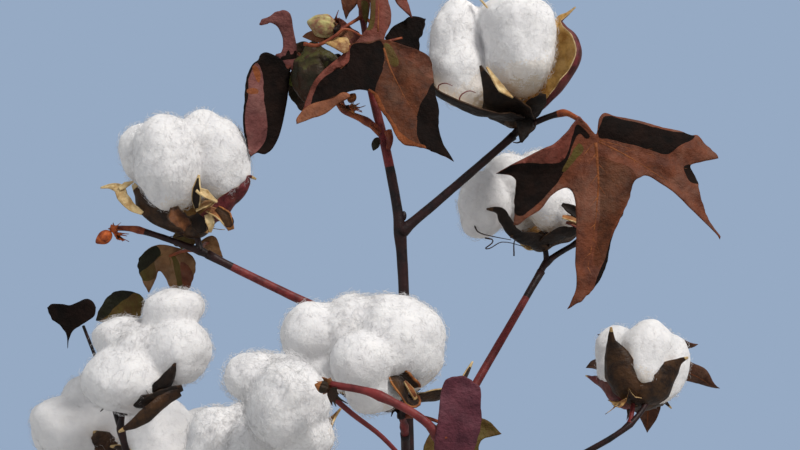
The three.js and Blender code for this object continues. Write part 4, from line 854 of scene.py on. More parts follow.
def addBract(bag, boll, turn, reach, drop, seed, slot, shown):  # a shrivelled, deeply fringed leaflet under the bur
    values = bractValues
    up, across = bollAxes(boll)
    base = np.asarray(boll["base"], float)
    out = across(turn)
    corners = [(-180, reach * 0.15, 0), (-115, reach * 0.24, 0)]
    for number in range(values["fringes"]):
        angle = (number - (values["fringes"] - 1) / 2) * values["fringeTurn"]
        length = reach * (1 - 0.005 * abs(angle)) * (values["fringeLength"][0] + values["fringeLength"][1] * chance(seed, number, 4))
        corners.append((angle, length, reach * values["fringeHang"] * (2 * chance(seed, number, 5) - 1)))
        if number + 1 < values["fringes"]:
            corners.append((angle + values["fringeTurn"] / 2, reach * values["bay"], 0))
    corners.append((115, reach * 0.24, 0))
    aim = base + out * math.cos(math.radians(drop)) + up * math.sin(math.radians(drop))
    leaf = {"joint": base + out * 2, "aim": aim + out * 2, "face": up + out * 0.2, "corners": corners, "ribs": [], "front": slot,
            "back": "bractDark", "puff": 0.4, "wave": reach * values["wave"], "thickness": values["thickness"], "seed": seed, "veins": 0,
            "step": values["steps"][0 if shown else 1]}
    addBlade(bag, None, leaf)


# Leaves: a thin blade pushed out to its lobes, puffed between its veins, with veins of their own laid on it
leafValues = {"thickness": 0.45, "underSlot": "leafBack", "petioleRadius": 1.0, "serration": 0.35, "serrationSize": 2.2,
              "ribFrom": 0.03, "ribTo": 0.93, "ribOver": 0.3, "toneWaver": 0.35, "toneWaverSize": 3, "puffWidth": 4.5,
              "ripple": (17, 1), "smallRipple": (6, 0.35), "edgeRipple": (12, 1.3), "edgeFrom": 0.72, "edgeWidth": 0.28,
              "puff": 1.0, "wave": 2.4, "steps": (1.1, 0.95, 2.6), "largeFrom": 35, "sideVeinsFrom": 20,
              "veinRoot": 0.95, "veinTip": 0.3, "veinLength": 60, "midrib": 1.25, "otherRib": 0.8, "sideVeins": 10, "sideVeinAngle": 42,
              "sideVeinSpread": 8, "sideVeinLength": 0.3, "sideVeinRoot": 0.35, "sideVeinTip": 0.6, "veinMargin": 0.8}


def flatPlaces(pairs):  # turns and reaches to places in the blade's own plane
    turns, reaches = np.radians([pair[0] for pair in pairs]), np.array([pair[1] for pair in pairs], float)
    return np.stack([np.cos(turns) * reaches, np.sin(turns) * reaches], axis=1)


def ringThrough(places, step, sharp=()):  # a smooth closed line through the places, with a corner at each sharp one
    count, out = len(places), []
    for i in range(count):
        after = (i + 1) % count
        p1, p2 = places[i], places[after]
        length = np.linalg.norm((p2 - p1)[:2])
        m1 = unit(p2 - p1 if i in sharp else p2 - places[i - 1]) * length
        m2 = unit(p2 - p1 if after in sharp else places[(after + 1) % count] - p1) * length
        samples = max(1, round(length / step))
        out += [curvePlace(p1, m1, p2, m2, number / samples) for number in range(samples)]
    return np.array(out)


def insideRing(flat, ring):
    inside = np.zeros(len(flat), bool)
    for a, b in zip(ring, np.roll(ring, -1, axis=0)):
        between = (a[1] > flat[:, 1]) != (b[1] > flat[:, 1])
        rise = b[1] - a[1] if abs(b[1] - a[1]) > 1e-9 else 1e-9
        inside ^= between & (flat[:, 0] < (b[0] - a[0]) * (flat[:, 1] - a[1]) / rise + a[0])
    return inside


def distanceToPath(flat, path):
    nearest = np.full(len(flat), 1e9)
    for a, b in zip(path, path[1:]):
        along = b - a
        share = np.clip((flat - a) @ along / max(along @ along, 1e-9), 0, 1)
        nearest = np.minimum(nearest, np.hypot(*(a + share[:, None] * along - flat).T))
    return nearest


def shapeLeaf(leaf):  # the outline with its hang, the ribs and the patches, all in the blade's own plane
    values, corners = leafValues, leaf["corners"]
    places = np.concatenate([flatPlaces(corners), np.array([[corner[2]] for corner in corners], float)], axis=1)
    reach = [corner[1] for corner in corners]
    count = len(corners)
    peaks = [i for i in range(count) if reach[i] > reach[i - 1] and reach[i] > reach[(i + 1) % count]]
    outline = ringThrough(places, leaf["step"], peaks)
    outline[:, :2] *= 1 + (values["serration"] / max(reach)) * softNoise(outline, values["serrationSize"], leaf["seed"])[:, None] * 2
    if "ribs" in leaf:
        ribs = [curveThrough(np.c_[flatPlaces(rib), np.zeros(len(rib))], 4)[:, :2] for rib in leaf["ribs"]]
    else:
        shares = np.linspace(values["ribFrom"], values["ribTo"], 14)[:, None]
        ribs = [places[i, :2] * shares for i in peaks if reach[i] > values["ribOver"] * max(reach)]
    patches = []
    for slot, pairs in leaf.get("tones", ()):
        ring = ringThrough(flatPlaces(pairs), leaf["step"])
        spot = np.c_[ring, np.full(len(ring), leaf["seed"] * 3.1)]
        waver = np.stack([softNoise(spot, values["toneWaverSize"], seed) for seed in (1, 2)], axis=1)
        patches.append((slot, ring + values["toneWaver"] * waver))
    leaf["outline"], leaf["ribLines"], leaf["patches"] = outline, ribs, patches


def bladeHeight(leaf, flat):  # how far the blade stands off its plane, and how far each place is from the margin
    values, outline = leafValues, leaf["outline"]
    distance = np.hypot(flat[:, None, 0] - outline[None, :, 0], flat[:, None, 1] - outline[None, :, 1])
    weight = 1 / (distance**2 + 0.3) ** 1.5
    hang = weight @ outline[:, 2] / weight.sum(axis=1)
    nearest = distance.min(axis=1)
    radius = np.hypot(*flat.T)
    share = radius / (radius + nearest + 1e-6)
    valley = np.min([distanceToPath(flat, rib) for rib in leaf["ribLines"]], axis=0) if leaf["ribLines"] else radius
    spot = np.c_[flat, np.full(len(flat), leaf["seed"] * 3.7)]
    (size, amount), (smallSize, smallAmount), (edgeSize, edgeAmount) = values["ripple"], values["smallRipple"], values["edgeRipple"]
    puff = leaf["puff"] * (1 - np.exp(-((valley / values["puffWidth"]) ** 2)))
    ripple = leaf["wave"] * share * (amount * softNoise(spot, size, 2) + smallAmount * softNoise(spot, smallSize, 4))
    nearEdge = np.clip((share - values["edgeFrom"]) / values["edgeWidth"], 0, 1) ** 2
    return hang * share**2 + puff + ripple + leaf["wave"] * edgeAmount * nearEdge * softNoise(spot, edgeSize, 6), nearest


def toneAt(leaf, flat):
    tone = np.full(len(flat), slotOrder[leaf["front"]])
    for slot, ring in leaf["patches"]:
        tone = np.where(insideRing(flat, ring), slotOrder[slot], tone)
    return tone


def placeOnBlade(leaf, flat, lift=0):
    joint, forward, side, face = leafAxes(leaf)
    height, nearest = bladeHeight(leaf, flat)
    return joint + flat[:, :1] * forward + flat[:, 1:] * side + (height + lift)[:, None] * face, nearest


def gapsTo(flat, line):  # from each place to the nearest point of a line
    return np.hypot(flat[:, None, 0] - line[None, :, 0], flat[:, None, 1] - line[None, :, 1]).min(axis=1)


def addBlade(bag, veinBag, leaf):  # triangles that follow the margin and every patch, as a thin closed sheet
    shapeLeaf(leaf)
    ring, step = leaf["outline"][:, :2], leaf["step"]
    low, high = ring.min(axis=0), ring.max(axis=0)
    across, along = np.meshgrid(np.arange(low[0], high[0], step * 1.1), np.arange(low[1], high[1], step * 0.95))
    across = across + (np.arange(len(along)) % 2)[:, None] * step * 0.55
    filling = np.stack([across.ravel(), along.ravel()], axis=1)
    filling = filling[insideRing(filling, ring)]
    rings = [ring, *[patch for _, patch in leaf["patches"]]]
    for line in rings:
        filling = filling[gapsTo(filling, line) > step * 0.5]
    edges, start = [], 0
    for line in rings:
        edges += [(start + i, start + (i + 1) % len(line)) for i in range(len(line))]
        start += len(line)
    corners = [Vector(place) for place in np.concatenate([*rings, filling])]
    places, _, triangles, *_ = delaunay_2d_cdt(corners, edges, [], 0, 1e-4)
    flat, triangles = np.array([tuple(place) for place in places]), np.array([t for t in triangles if len(t) == 3])
    a, b, c = (flat[triangles[:, i]] for i in range(3))
    area = (b[:, 0] - a[:, 0]) * (c[:, 1] - a[:, 1]) - (b[:, 1] - a[:, 1]) * (c[:, 0] - a[:, 0])
    triangles = np.where((area < 0)[:, None], triangles[:, ::-1], triangles)
    triangles = triangles[insideRing(flat[triangles].mean(axis=1), ring) & (np.abs(area) > 1e-5)]
    used, triangles = np.unique(triangles, return_inverse=True)
    triangles, flat = triangles.reshape(-1, 3), flat[used]
    points, _ = placeOnBlade(leaf, flat)
    normals = pointNormals(points, triangles) * leaf["thickness"] / 2
    count = len(points)
    sides = np.concatenate([triangles[:, [0, 1]], triangles[:, [1, 2]], triangles[:, [2, 0]]])
    known = set((sides[:, 0] * count + sides[:, 1]).tolist())
    margin = sides[[(b * count + a) not in known for a, b in sides.tolist()]]
    walls = np.stack([margin[:, 1], margin[:, 0], margin[:, 0] + count, margin[:, 1] + count], axis=1)
    back = leaf.get("back", leafValues["underSlot"])
    addMesh(bag, np.concatenate([points + normals, points - normals]),
            [(triangles, toneAt(leaf, flat[triangles].mean(axis=1))), (triangles[:, ::-1] + count, back), (walls, leaf["front"])])
    if veinBag is not None and leaf["veins"]:
        addVeins(veinBag, leaf)


def addVeins(bag, leaf):
    values = leafValues
    lengths = [np.linalg.norm(rib[-1] - rib[0]) for rib in leaf["ribLines"]]
    step = np.linspace(0, 1, 8)[:, None]
    for number, (rib, length) in enumerate(zip(leaf["ribLines"], lengths)):
        size = min(1, length / values["veinLength"]) * (values["midrib"] if length > 0.97 * max(lengths) else values["otherRib"])
        addVein(bag, leaf, rib, values["veinRoot"] * size, values["veinTip"] * size)
        if leaf["veins"] < 2:
            continue
        tangents = np.gradient(rib, axis=0)
        every = max(1, len(rib) // values["sideVeins"])
        for place in range(2, len(rib) - 2, every):
            ahead = unit(tangents[place])
            way = 1 if (place // every) % 2 == 0 else -1
            angle = way * math.radians(values["sideVeinAngle"] + values["sideVeinSpread"] * (chance(place, number, leaf["seed"]) - 0.5))
            cos, sin = math.cos(angle), math.sin(angle)
            aside = np.array([ahead[0] * cos - ahead[1] * sin, ahead[0] * sin + ahead[1] * cos])
            ray = rib[place] + aside * step * length * values["sideVeinLength"] * (1 - 0.55 * place / len(rib))
            ray = ray + ahead * step**2 * 0.1 * length
            addVein(bag, leaf, ray, values["veinRoot"] * values["sideVeinRoot"] * size, values["veinTip"] * values["sideVeinTip"])


def addVein(bag, leaf, flat, root, tip):
    points, nearest = placeOnBlade(leaf, flat, 0.1 - root * 0.35)  # sunk by a third of its radius
    inside = insideRing(flat, leaf["outline"][:, :2]) & (nearest > leafValues["veinMargin"])
    count = int(np.argmin(inside)) if not inside.all() else len(points)
    if count > 3:
        # a vein over a patch of painted shade takes the same painted shade
        own, paintedShade = leaf.get("vein", "leafVein"), slotOrder["leafUnder"]
        slots = ["leafUnder" if number == paintedShade else own for number in toneAt(leaf, flat[:count])]
        addTube(bag, points[:count], np.linspace(root, tip, count), 5, slots)


def prepareLeaf(leaf, number, shown):
    values = leafValues
    corners = [(*corner, 0)[:3] for corner in leaf["corners"]]
    flat = flatPlaces(corners)
    area = np.sum(flat[:, 0] * np.roll(flat[:, 1], -1) - flat[:, 1] * np.roll(flat[:, 0], -1))
    leaf["corners"] = corners if area > 0 else corners[::-1]
    leaf.setdefault("puff", values["puff"])
    leaf.setdefault("wave", values["wave"])
    leaf["seed"], leaf["thickness"] = number, values["thickness"]
    size = max(corner[1] for corner in corners)
    large, small, lower = values["steps"]
    leaf["step"] = (large if size > values["largeFrom"] else small) if shown else lower
    leaf["veins"] = 2 if shown and size > values["sideVeinsFrom"] else 1


# Stems and twigs: bark with fine ridges, swollen where each branch or leaf leaves them
stemValues = {"footRadius": 8, "tipRadius": 2.3, "flareRadius": 6, "flareHeight": 16, "swelling": 0.24, "swellingLength": 6,
              "sides": 32, "ringGap": 2.5, "relief": 0.22, "reliefSize": 2.6, "reliefStretch": (1, 1, 0.12), "woodTo": 420, "paintedShadeTo": 937,
              "scarRise": 9, "scarSize": (1.5, 1.5, 2.6)}
branchValues = {"root": 2.7, "tip": 2.0, "steps": 24, "wiggle": 3, "wiggleSize": 30, "collar": 0.5, "collarSteps": 1.6, "endCollar": 0.21,
                "endCollarSteps": 1.2, "sides": (18, 12), "relief": 0.09, "reliefSize": 2.2, "red": (0.12, 0.8)}
twigValues = {"tip": 1.35, "swelling": 0.35, "swellingLength": 3.2, "sides": (12, 8), "relief": 0.08, "reliefSize": 2, "secondFrom": 0.62,
              "stalkRadius": 1.5, "collar": 0.5, "stalkRelief": 0.05}


def stemRadius(height, nodes):
    values = stemValues
    size = blendOf(values["footRadius"], values["tipRadius"], height / stemLine[-1][2])
    size += values["flareRadius"] * math.exp(-height / values["flareHeight"])
    swell = max(math.exp(-((height - node) / values["swellingLength"]) ** 2) for node in nodes)
    return size * (1 + values["swelling"] * swell)


def addStem(bag, nodes):
    values = stemValues
    heights = np.arange(0, stemLine[-1][2] + 0.01, values["ringGap"])
    line = np.array([stemPoint(height) for height in heights])
    radii = np.array([stemRadius(height, nodes) for height in heights])
    slots = []
    # painted shade: the stem's bark is dark up to a height and red above it, with grey wood at its foot
    for height in heights:
        patch = softNoise(np.array([[height * 0.4, 2.0, 7.0]]), 14, 1)[0]
        upper = "barkDark" if height + patch * 8 < values["paintedShadeTo"] else "barkRed"
        slots.append("barkWood" if height + patch * 70 < values["woodTo"] else upper)
    addTube(bag, line, radii, values["sides"], slots, values["relief"], values["reliefSize"], values["reliefStretch"])
    points, faces = ball(3)
    for node, direction in zip(nodes, nodeDirections):  # the scar and small bud over each branch
        middle = stemPoint(node + values["scarRise"]) + direction * stemRadius(node, [node]) * 0.9
        addMesh(bag, middle + points * np.array(values["scarSize"]), [(faces, "barkDark")])


def addBranch(bag, branch, shown):
    values = branchValues
    steps = values["steps"]
    points = branchPoints(branch, steps)
    shares = np.linspace(0, 1, len(points))
    wiggle = softNoise(points, values["wiggleSize"], 8)[:, None] * np.array([0, 0, 1.0]) * (shares * (1 - shares))[:, None]
    collar = values["collar"] * np.exp(-((shares * steps) / values["collarSteps"]) ** 2)
    endCollar = values["endCollar"] * np.exp(-((1 - shares) * steps / values["endCollarSteps"]) ** 2)
    radii = blendOf(values["root"], values["tip"], shares) * (1 + collar + endCollar)
    # painted shade: a branch is red within its stretch and dark outside it
    first, last = redStretches.get(branch["name"], values["red"])
    slots = ["barkRed" if first < share < last else "barkDark" for share in shares]
    sides = values["sides"][0 if shown else 1]
    addTube(bag, points + wiggle * values["wiggle"], radii, sides, slots, values["relief"], values["reliefSize"])


# the red stretch of each branch, as shares of its length; outside it the bark is dark painted shade
redStretches = {"left_high": (0.28, 0.86), "right_back": (0.05, 0.87), "right_high": (0.0, 0.02), "front_low": (0.0, 1.0),
                "left_low": (0.0, 0.05)}


def addTwig(bag, start, nodes, name, shown):
    values = twigValues
    line = curveThrough([start, *nodes], 10)
    shares = np.linspace(0, 1, len(line))
    swell = np.zeros(len(line))
    for node in nodes[:-1]:
        away = np.linalg.norm(line - np.asarray(node, float), axis=1)
        swell = np.maximum(swell, np.exp(-(away / values["swellingLength"]) ** 2))
    radii = blendOf(branchValues["tip"], values["tip"], shares) * (1 + values["swelling"] * swell)
    # a twig not listed is dark painted shade or red, by chance
    first, second = twigSlots.get(name, ("barkDark" if chance(len(name), int(nodes[0][2]), 1) > 0.4 else "barkRed",) * 2)
    slots = [first if share < values["secondFrom"] else second for share in shares]
    addTube(bag, line, radii, values["sides"][0 if shown else 1], slots, values["relief"], values["reliefSize"])


# twig bark before and after secondFrom; the dark bark is painted shade
twigSlots = {"right_high": ("barkDark", "barkOrange"), "left_high": ("barkDark", "barkOrange"), "right_back": ("barkDark", "barkDark"),
             "front_low": ("barkRed", "barkRed"), "left_low": ("barkDark", "barkDark"), "tip": ("barkRed", "barkRed"),
             "side_shoot": ("barkOrange", "barkOrange")}


def addStalk(bag, start, end, radius, arch, slot, sides=8):
    middle = (np.array(start, float) + end) / 2 + np.array([0, 0, arch])
    line = curveThrough([start, middle, end], 6)
    swell = 1 + twigValues["collar"] * np.exp(-((np.linspace(0, 1, len(line))) * 8) ** 2)
    radii = np.linspace(radius, radius * 0.8, len(line)) * swell
    addTube(bag, line, radii, sides, slot, twigValues["stalkRelief"], twigValues["reliefSize"])


bollValues = {"lockTurnSpread": 12, "lockSpread": 0.1, "lockOut": 0.23, "lockRiseSpread": 3, "lockHalf": 0.285, "low": (0.72, 0.93)}
bollDetail = {"shown": {"lint": "lintShown", "cuts": 34, "fibres": 3500, "across": 15, "along": 8, "calyxCuts": 6},
              "fine": {"lint": "lintShown", "cuts": 23, "fibres": 850, "across": 7, "along": 3, "calyxCuts": 4},
              "plain": {"lint": "lintLower", "cuts": 15, "fibres": 160, "across": 7, "along": 3, "calyxCuts": 4}}


def addBoll(bags, boll, number, detailName):
    detail, values = bollDetail[detailName], bollValues
    up, across = bollAxes(boll)
    middle, base = np.asarray(boll["middle"], float), np.asarray(boll["base"], float)
    width, firstTurn = boll["width"], boll.get("turn")
    locks = []
    for dx, dy, dz, halfWidth, halfHeight, lean in boll.get("locks", ()):
        locks.append((np.array([dx, dy, dz], float), unit((lean, 0, 1)), halfWidth, halfHeight))
    for order in range(0 if locks else 4):
        turn = firstTurn + order * 90 + spreadBy(values["lockTurnSpread"], number, order, 21)
        size = 1 + spreadBy(values["lockSpread"], number, order, 22)
        offset = across(turn) * width * values["lockOut"] + up * spreadBy(values["lockRiseSpread"], number, order, 23)
        locks.append((offset, unit(up + across(turn) * 0.25), width * values["lockHalf"] * size, boll["height"] * 0.5 * size))
    low = boll.get("low", values["low"])
    addLint(bags[detail["lint"]], bags["lintFibres"], middle, up, locks, low, detail["cuts"], detail["fibres"], number)
    carpels = boll.get("carpels")
    if carpels is None:
        carpels = []
        for order in range(4):
            turn = firstTurn + 45 + order * 90 + spreadBy(burValues["turnSpread"], number, order, 24)
            reach = width * boll["carpel"] * (1 + spreadBy(burValues["sizeSpread"], number, order, 25))
            carpels.append(ruleCarpel(boll, turn, reach, number * 5 + order))
    for order, petal in enumerate(carpels):
        addPetal(bags["burShells"], base, petal, detail["across"], detail["along"], number * 5 + order)
    points, faces = ball(detail["calyxCuts"])
    size = np.array([burValues["calyxWidth"], burValues["calyxWidth"], burValues["calyxHeight"]]) * width
    side = across(0)
    other = np.cross(up, side)
    bowl = points[:, :1] * side * size[0] + points[:, 1:2] * other * size[1] + points[:, 2:] * up * size[2]
    bowl += base + up * size[2] * burValues["calyxRise"]
    addMesh(bags["burShells"], bowl, [(faces, "burOuter")])
    bracts = boll.get("bracts")
    if bracts is None:
        bracts = []
        for order in range(2):
            turn = firstTurn + order * 120 + spreadBy(bractValues["turnSpread"], number, order, 26)
            reach = width * bractValues["reach"] * (1 + spreadBy(bractValues["reachSpread"], number, order, 27))
            drop = bractValues["drop"] + spreadBy(bractValues["dropSpread"], number, order, 28)
            bracts.append((turn, reach, drop, "bractTan" if chance(number, order, 29) > 0.5 else "bractDark"))
    for order, (turn, reach, drop, slot) in enumerate(bracts):
        addBract(bags["driedBracts"], boll, turn, reach, drop, number * 11 + order, slot, detailName == "shown")
    addThreads(bags["twigBark"], boll, base, 0.5)


def addThreads(bag, growth, base, taper):  # dried threads and shreds that hang about a boll
    for line, radius, slot in growth.get("threads", ()):
        smooth = curveThrough(np.asarray(line, float) + base, 5)
        addTube(bag, smooth, np.linspace(radius, radius * taper, len(smooth)), 6, slot)


# Materials
def newGroup(name, inputs, outputs):
    group = bpy.data.node_groups.new(name, "ShaderNodeTree")
    for label, value in inputs.items():
        kind = "NodeSocketColor" if isinstance(value, tuple) else "NodeSocketFloat"
        group.interface.new_socket(label, in_out="INPUT", socket_type=kind).default_value = value
    for label, kind in outputs.items():
        group.interface.new_socket(label, in_out="OUTPUT", socket_type=kind)
    return group, group.nodes.new("NodeGroupInput"), group.nodes.new("NodeGroupOutput")


def setInputs(node, values):
    for name, value in values.items():
        node.inputs[name].default_value = value


def newNode(tree, kind, values={}, **settings):
    node = tree.nodes.new("ShaderNode" + kind)
    for name, value in settings.items():
        setattr(node, name, value)
    setInputs(node, values)
    return node


def linkAll(tree, links):  # each link is a node with its output and a node with its input
    for source, output, target, socket in links:
        tree.links.new(source.outputs[output], target.inputs[socket])


def makeMottle():  # two tones in soft spots, with a lighter tone of dust and painted sheen over them
    group, start, end = newGroup("mottle",
        {"Tone": (0.5, 0.5, 0.5, 1), "Other Tone": (0.3, 0.3, 0.3, 1), "Dust And Sheen": (0.5, 0.5, 0.5, 1), "Dust Share": 0.3,
         "Spots": 200, "Softness": 0.2}, {"Color": "NodeSocketColor"})
    place = newNode(group, "TexCoord")
    spots = newNode(group, "TexNoise", {"Detail": 5, "Roughness": 0.62})
    low, high = (newNode(group, "Math", {0: 0.5}, operation=kind) for kind in ("SUBTRACT", "ADD"))
    ramp, mixing = newNode(group, "MapRange"), newNode(group, "Mix", data_type="RGBA")
    wide = newNode(group, "TexNoise", {"Detail": 6, "Roughness": 0.7})
    dustAndSheenSpots = newNode(group, "MapRange", {"From Min": 0.48, "From Max": 0.66})
    scale, share = newNode(group, "Math", {1: 0.55}, operation="MULTIPLY"), newNode(group, "Math", operation="MULTIPLY")
    dustAndSheenMix = newNode(group, "Mix", data_type="RGBA")
    linkAll(group, [
        (place, "Object", spots, "Vector"), (start, "Spots", spots, "Scale"), (start, "Softness", low, 1), (start, "Softness", high, 1),
        (spots, "Fac", ramp, "Value"), (low, 0, ramp, "From Min"), (high, 0, ramp, "From Max"), (ramp, "Result", mixing, "Factor"),
        (start, "Tone", mixing, "A"), (start, "Other Tone", mixing, "B"),
        (place, "Object", wide, "Vector"), (start, "Spots", scale, 0), (scale, 0, wide, "Scale"), (wide, "Fac", dustAndSheenSpots, "Value"),
        (dustAndSheenSpots, "Result", share, 0), (start, "Dust Share", share, 1), (share, 0, dustAndSheenMix, "Factor"), (mixing, "Result", dustAndSheenMix, "A"),
        (start, "Dust And Sheen", dustAndSheenMix, "B"), (dustAndSheenMix, "Result", end, "Color")])
    return group


def makeRelief():  # a fine height: wrinkles and grain together
    group, start, end = newGroup("fineRelief",
        {"Wrinkles": 300, "Grain": 1500, "Grain Share": 0.4}, {"Height": "NodeSocketFloat"})
    place, both = newNode(group, "TexCoord"), newNode(group, "Math", operation="MULTIPLY_ADD")
    wrinkles, grain = newNode(group, "TexNoise", {"Detail": 3}), newNode(group, "TexNoise", {"Detail": 2})
    linkAll(group, [
        (place, "Object", wrinkles, "Vector"), (place, "Object", grain, "Vector"), (start, "Wrinkles", wrinkles, "Scale"),
        (start, "Grain", grain, "Scale"), (grain, "Fac", both, 0), (start, "Grain Share", both, 1), (wrinkles, "Fac", both, 2),
        (both, 0, end, "Height")])
    return group


# Tones are colours as seen, from 0 to 255; spots, wrinkles and grain are per metre, bump is in metres
leafSkin = {"spots": 110, "softness": 0.12, "dustShare": 0.45, "rough": 0.6, "gloss": 0.16, "wrinkles": 420, "grain": 1500,
            "grainShare": 0.35, "bump": 0.0016}
huskSkin = {"spots": 170, "softness": 0.1, "dustShare": 0, "rough": 0.62, "gloss": 0.25, "wrinkles": 360, "grain": 1500,
            "grainShare": 0.35, "bump": 0.0013}
barkSkin = {"spots": 150, "softness": 0.12, "dustShare": 0, "rough": 0.5, "gloss": 0.3, "wrinkles": 460, "grain": 1500,
            "grainShare": 0.3, "bump": 0.0006}
lintSkin = {"spots": 130, "softness": 0.2, "dustShare": 0, "rough": 1.0, "gloss": 0.05, "wrinkles": 330, "grain": 1300,
            "grainShare": 0.35, "bump": 0.0009, "sheen": 0.15, "glow": 0.35}


# the lighter patch tone laid over a finish is partly real dust, partly painted sheen
def finish(skin, tone, other, dust=None, **rest):
    return {**skin, "tone": tone, "other": other, "dust": dust or tone, **rest}


finishes = {
    "lintWhite": finish(lintSkin, (242, 240, 239), (230, 228, 229)),
    # painted shade on the lint's lower faces, light and then deeper
    "lintPaintedShade": finish(lintSkin, (238, 232, 226), (227, 220, 213)),
    "lintCream": finish(lintSkin, (226, 214, 198), (208, 194, 174)),
    "leafRust": finish(leafSkin, (114, 62, 40), (84, 45, 31), (128, 94, 78)),
    "leafOrange": finish(leafSkin, (140, 76, 38), (106, 56, 30), (122, 68, 42)),
    "leafBrown": finish(leafSkin, (98, 52, 29), (64, 34, 20), (106, 76, 58)),
    "leafRed": finish(leafSkin, (122, 62, 50), (88, 44, 34), (134, 88, 76)),
    "leafMauve": finish(leafSkin, (122, 72, 68), (90, 50, 48), (140, 98, 90)),
    "leafPurple": finish(leafSkin, (104, 54, 64), (78, 40, 50), (120, 78, 86)),
    "leafPeach": finish(leafSkin, (142, 88, 60), (106, 62, 42), (160, 116, 88)),
    "leafPale": finish(leafSkin, (142, 104, 70), (104, 70, 44), (150, 124, 96)),
    "leafOlive": finish(leafSkin, (88, 76, 32), (80, 54, 26), (108, 92, 54)),
    "leafBack": finish(leafSkin, (92, 58, 42), (62, 38, 28), (112, 82, 64)),
    "leafDark": finish(leafSkin, (34, 35, 17), (22, 20, 12), (46, 42, 24)),
    # painted shade: near-black for leaves, folds and veins that lie in shadow
    "leafUnder": finish(leafSkin, (27, 16, 12), (14, 9, 7), (40, 24, 17), rough=0.8, gloss=0.1),
    "leafVein": finish(leafSkin, (146, 86, 46), (108, 58, 32), dustShare=0, spots=200),
    "burInner": finish(huskSkin, (176, 136, 78), (116, 78, 36)),
    # the gold inside of a carpel, lighter than its own colour: painted light on a face that lies in shade
    "burGold": finish(huskSkin, (226, 186, 112), (176, 130, 68), (240, 208, 146), dustShare=0.6),
    "burRim": finish(huskSkin, (222, 196, 146), (178, 142, 92)),
    "burOuter": finish(huskSkin, (66, 44, 24), (34, 21, 13), (96, 62, 36), dustShare=0.4, rough=0.5),
    "burRed": finish(huskSkin, (112, 44, 48), (66, 26, 26), (128, 74, 58), dustShare=0.5, rough=0.5),
    # near-black bur: partly the bur's own dark brown, partly painted shade in its hollows and under the boll
    "burDark": finish(huskSkin, (34, 22, 14), (18, 11, 8), (52, 34, 22), dustShare=0.3),
    "bractTan": finish(huskSkin, (196, 158, 98), (122, 76, 38), (214, 186, 138), dustShare=0.5),
    "bractDark": finish(huskSkin, (48, 28, 20), (24, 14, 11), (74, 46, 30), dustShare=0.4),
    "bractBrown": finish(huskSkin, (104, 62, 34), (62, 34, 20), (140, 92, 54), dustShare=0.4),
    "podOlive": finish(huskSkin, (66, 62, 27), (52, 32, 18), (84, 92, 38), dustShare=0.5, spots=120, rough=0.5),
    "podGreen": finish(huskSkin, (96, 104, 38), (86, 56, 28), spots=100, rough=0.5),
    "podPale": finish(huskSkin, (180, 170, 110), (146, 100, 76), (206, 198, 150), dustShare=0.5, spots=200, rough=0.5),
    # dark pod: partly its own dark brown, partly painted shade on pod bodies in shadow
    "podDark": finish(huskSkin, (54, 33, 20), (36, 32, 14), (78, 52, 32), dustShare=0.4, spots=110, rough=0.55),
    "podTan": finish(huskSkin, (168, 104, 54), (96, 50, 28), (196, 146, 92), dustShare=0.4),
    "podOrange": finish(huskSkin, (196, 98, 44), (120, 52, 28)),
    "barkWood": finish(barkSkin, (98, 78, 62), (66, 44, 34), rough=0.8, bump=0.0016),
    # dark bark: mostly painted shade where stems, branches and twigs lie in shadow; also the scars and some stalks
    "barkDark": finish(barkSkin, (46, 21, 20), (20, 11, 12)),
    "barkRed": finish(barkSkin, (126, 44, 44), (84, 26, 28), (146, 74, 66), dustShare=0.3),
    "barkOrange": finish(barkSkin, (156, 82, 46), (104, 42, 30)),
}
slotOrder = {name: number for number, name in enumerate(finishes)}


def seen(colour):  # a colour as seen on a screen to the shader's own scale
    parts = [channel / 255 for channel in colour]
    return [part / 12.92 if part <= 0.04045 else ((part + 0.055) / 1.055) ** 2.4 for part in parts] + [1]


def makeMaterial(name, looks, mottle, relief):
    material = bpy.data.materials.new(name)
    material.use_nodes = True
    tree = material.node_tree
    shader = tree.nodes["Principled BSDF"]
    setInputs(shader, {"Roughness": looks["rough"], "Specular IOR Level": looks["gloss"], "Sheen Weight": looks.get("sheen", 0),
                       "Subsurface Weight": looks.get("glow", 0), "Subsurface Radius": (1, 0.96, 0.92), "Subsurface Scale": 0.003})
    tones = newNode(tree, "Group", {"Tone": seen(looks["tone"]), "Other Tone": seen(looks["other"]), "Dust And Sheen": seen(looks["dust"]),
                                    "Dust Share": looks["dustShare"], "Spots": looks["spots"], "Softness": looks["softness"]},
                    node_tree=mottle)
    height = newNode(tree, "Group", {"Wrinkles": looks["wrinkles"], "Grain": looks["grain"], "Grain Share": looks["grainShare"]},
                     node_tree=relief)
    bump = newNode(tree, "Bump", {"Strength": 0.6, "Distance": looks["bump"]})
    linkAll(tree, [(tones, "Color", shader, "Base Color"), (height, "Height", bump, "Height"), (bump, "Normal", shader, "Normal")])
    return material


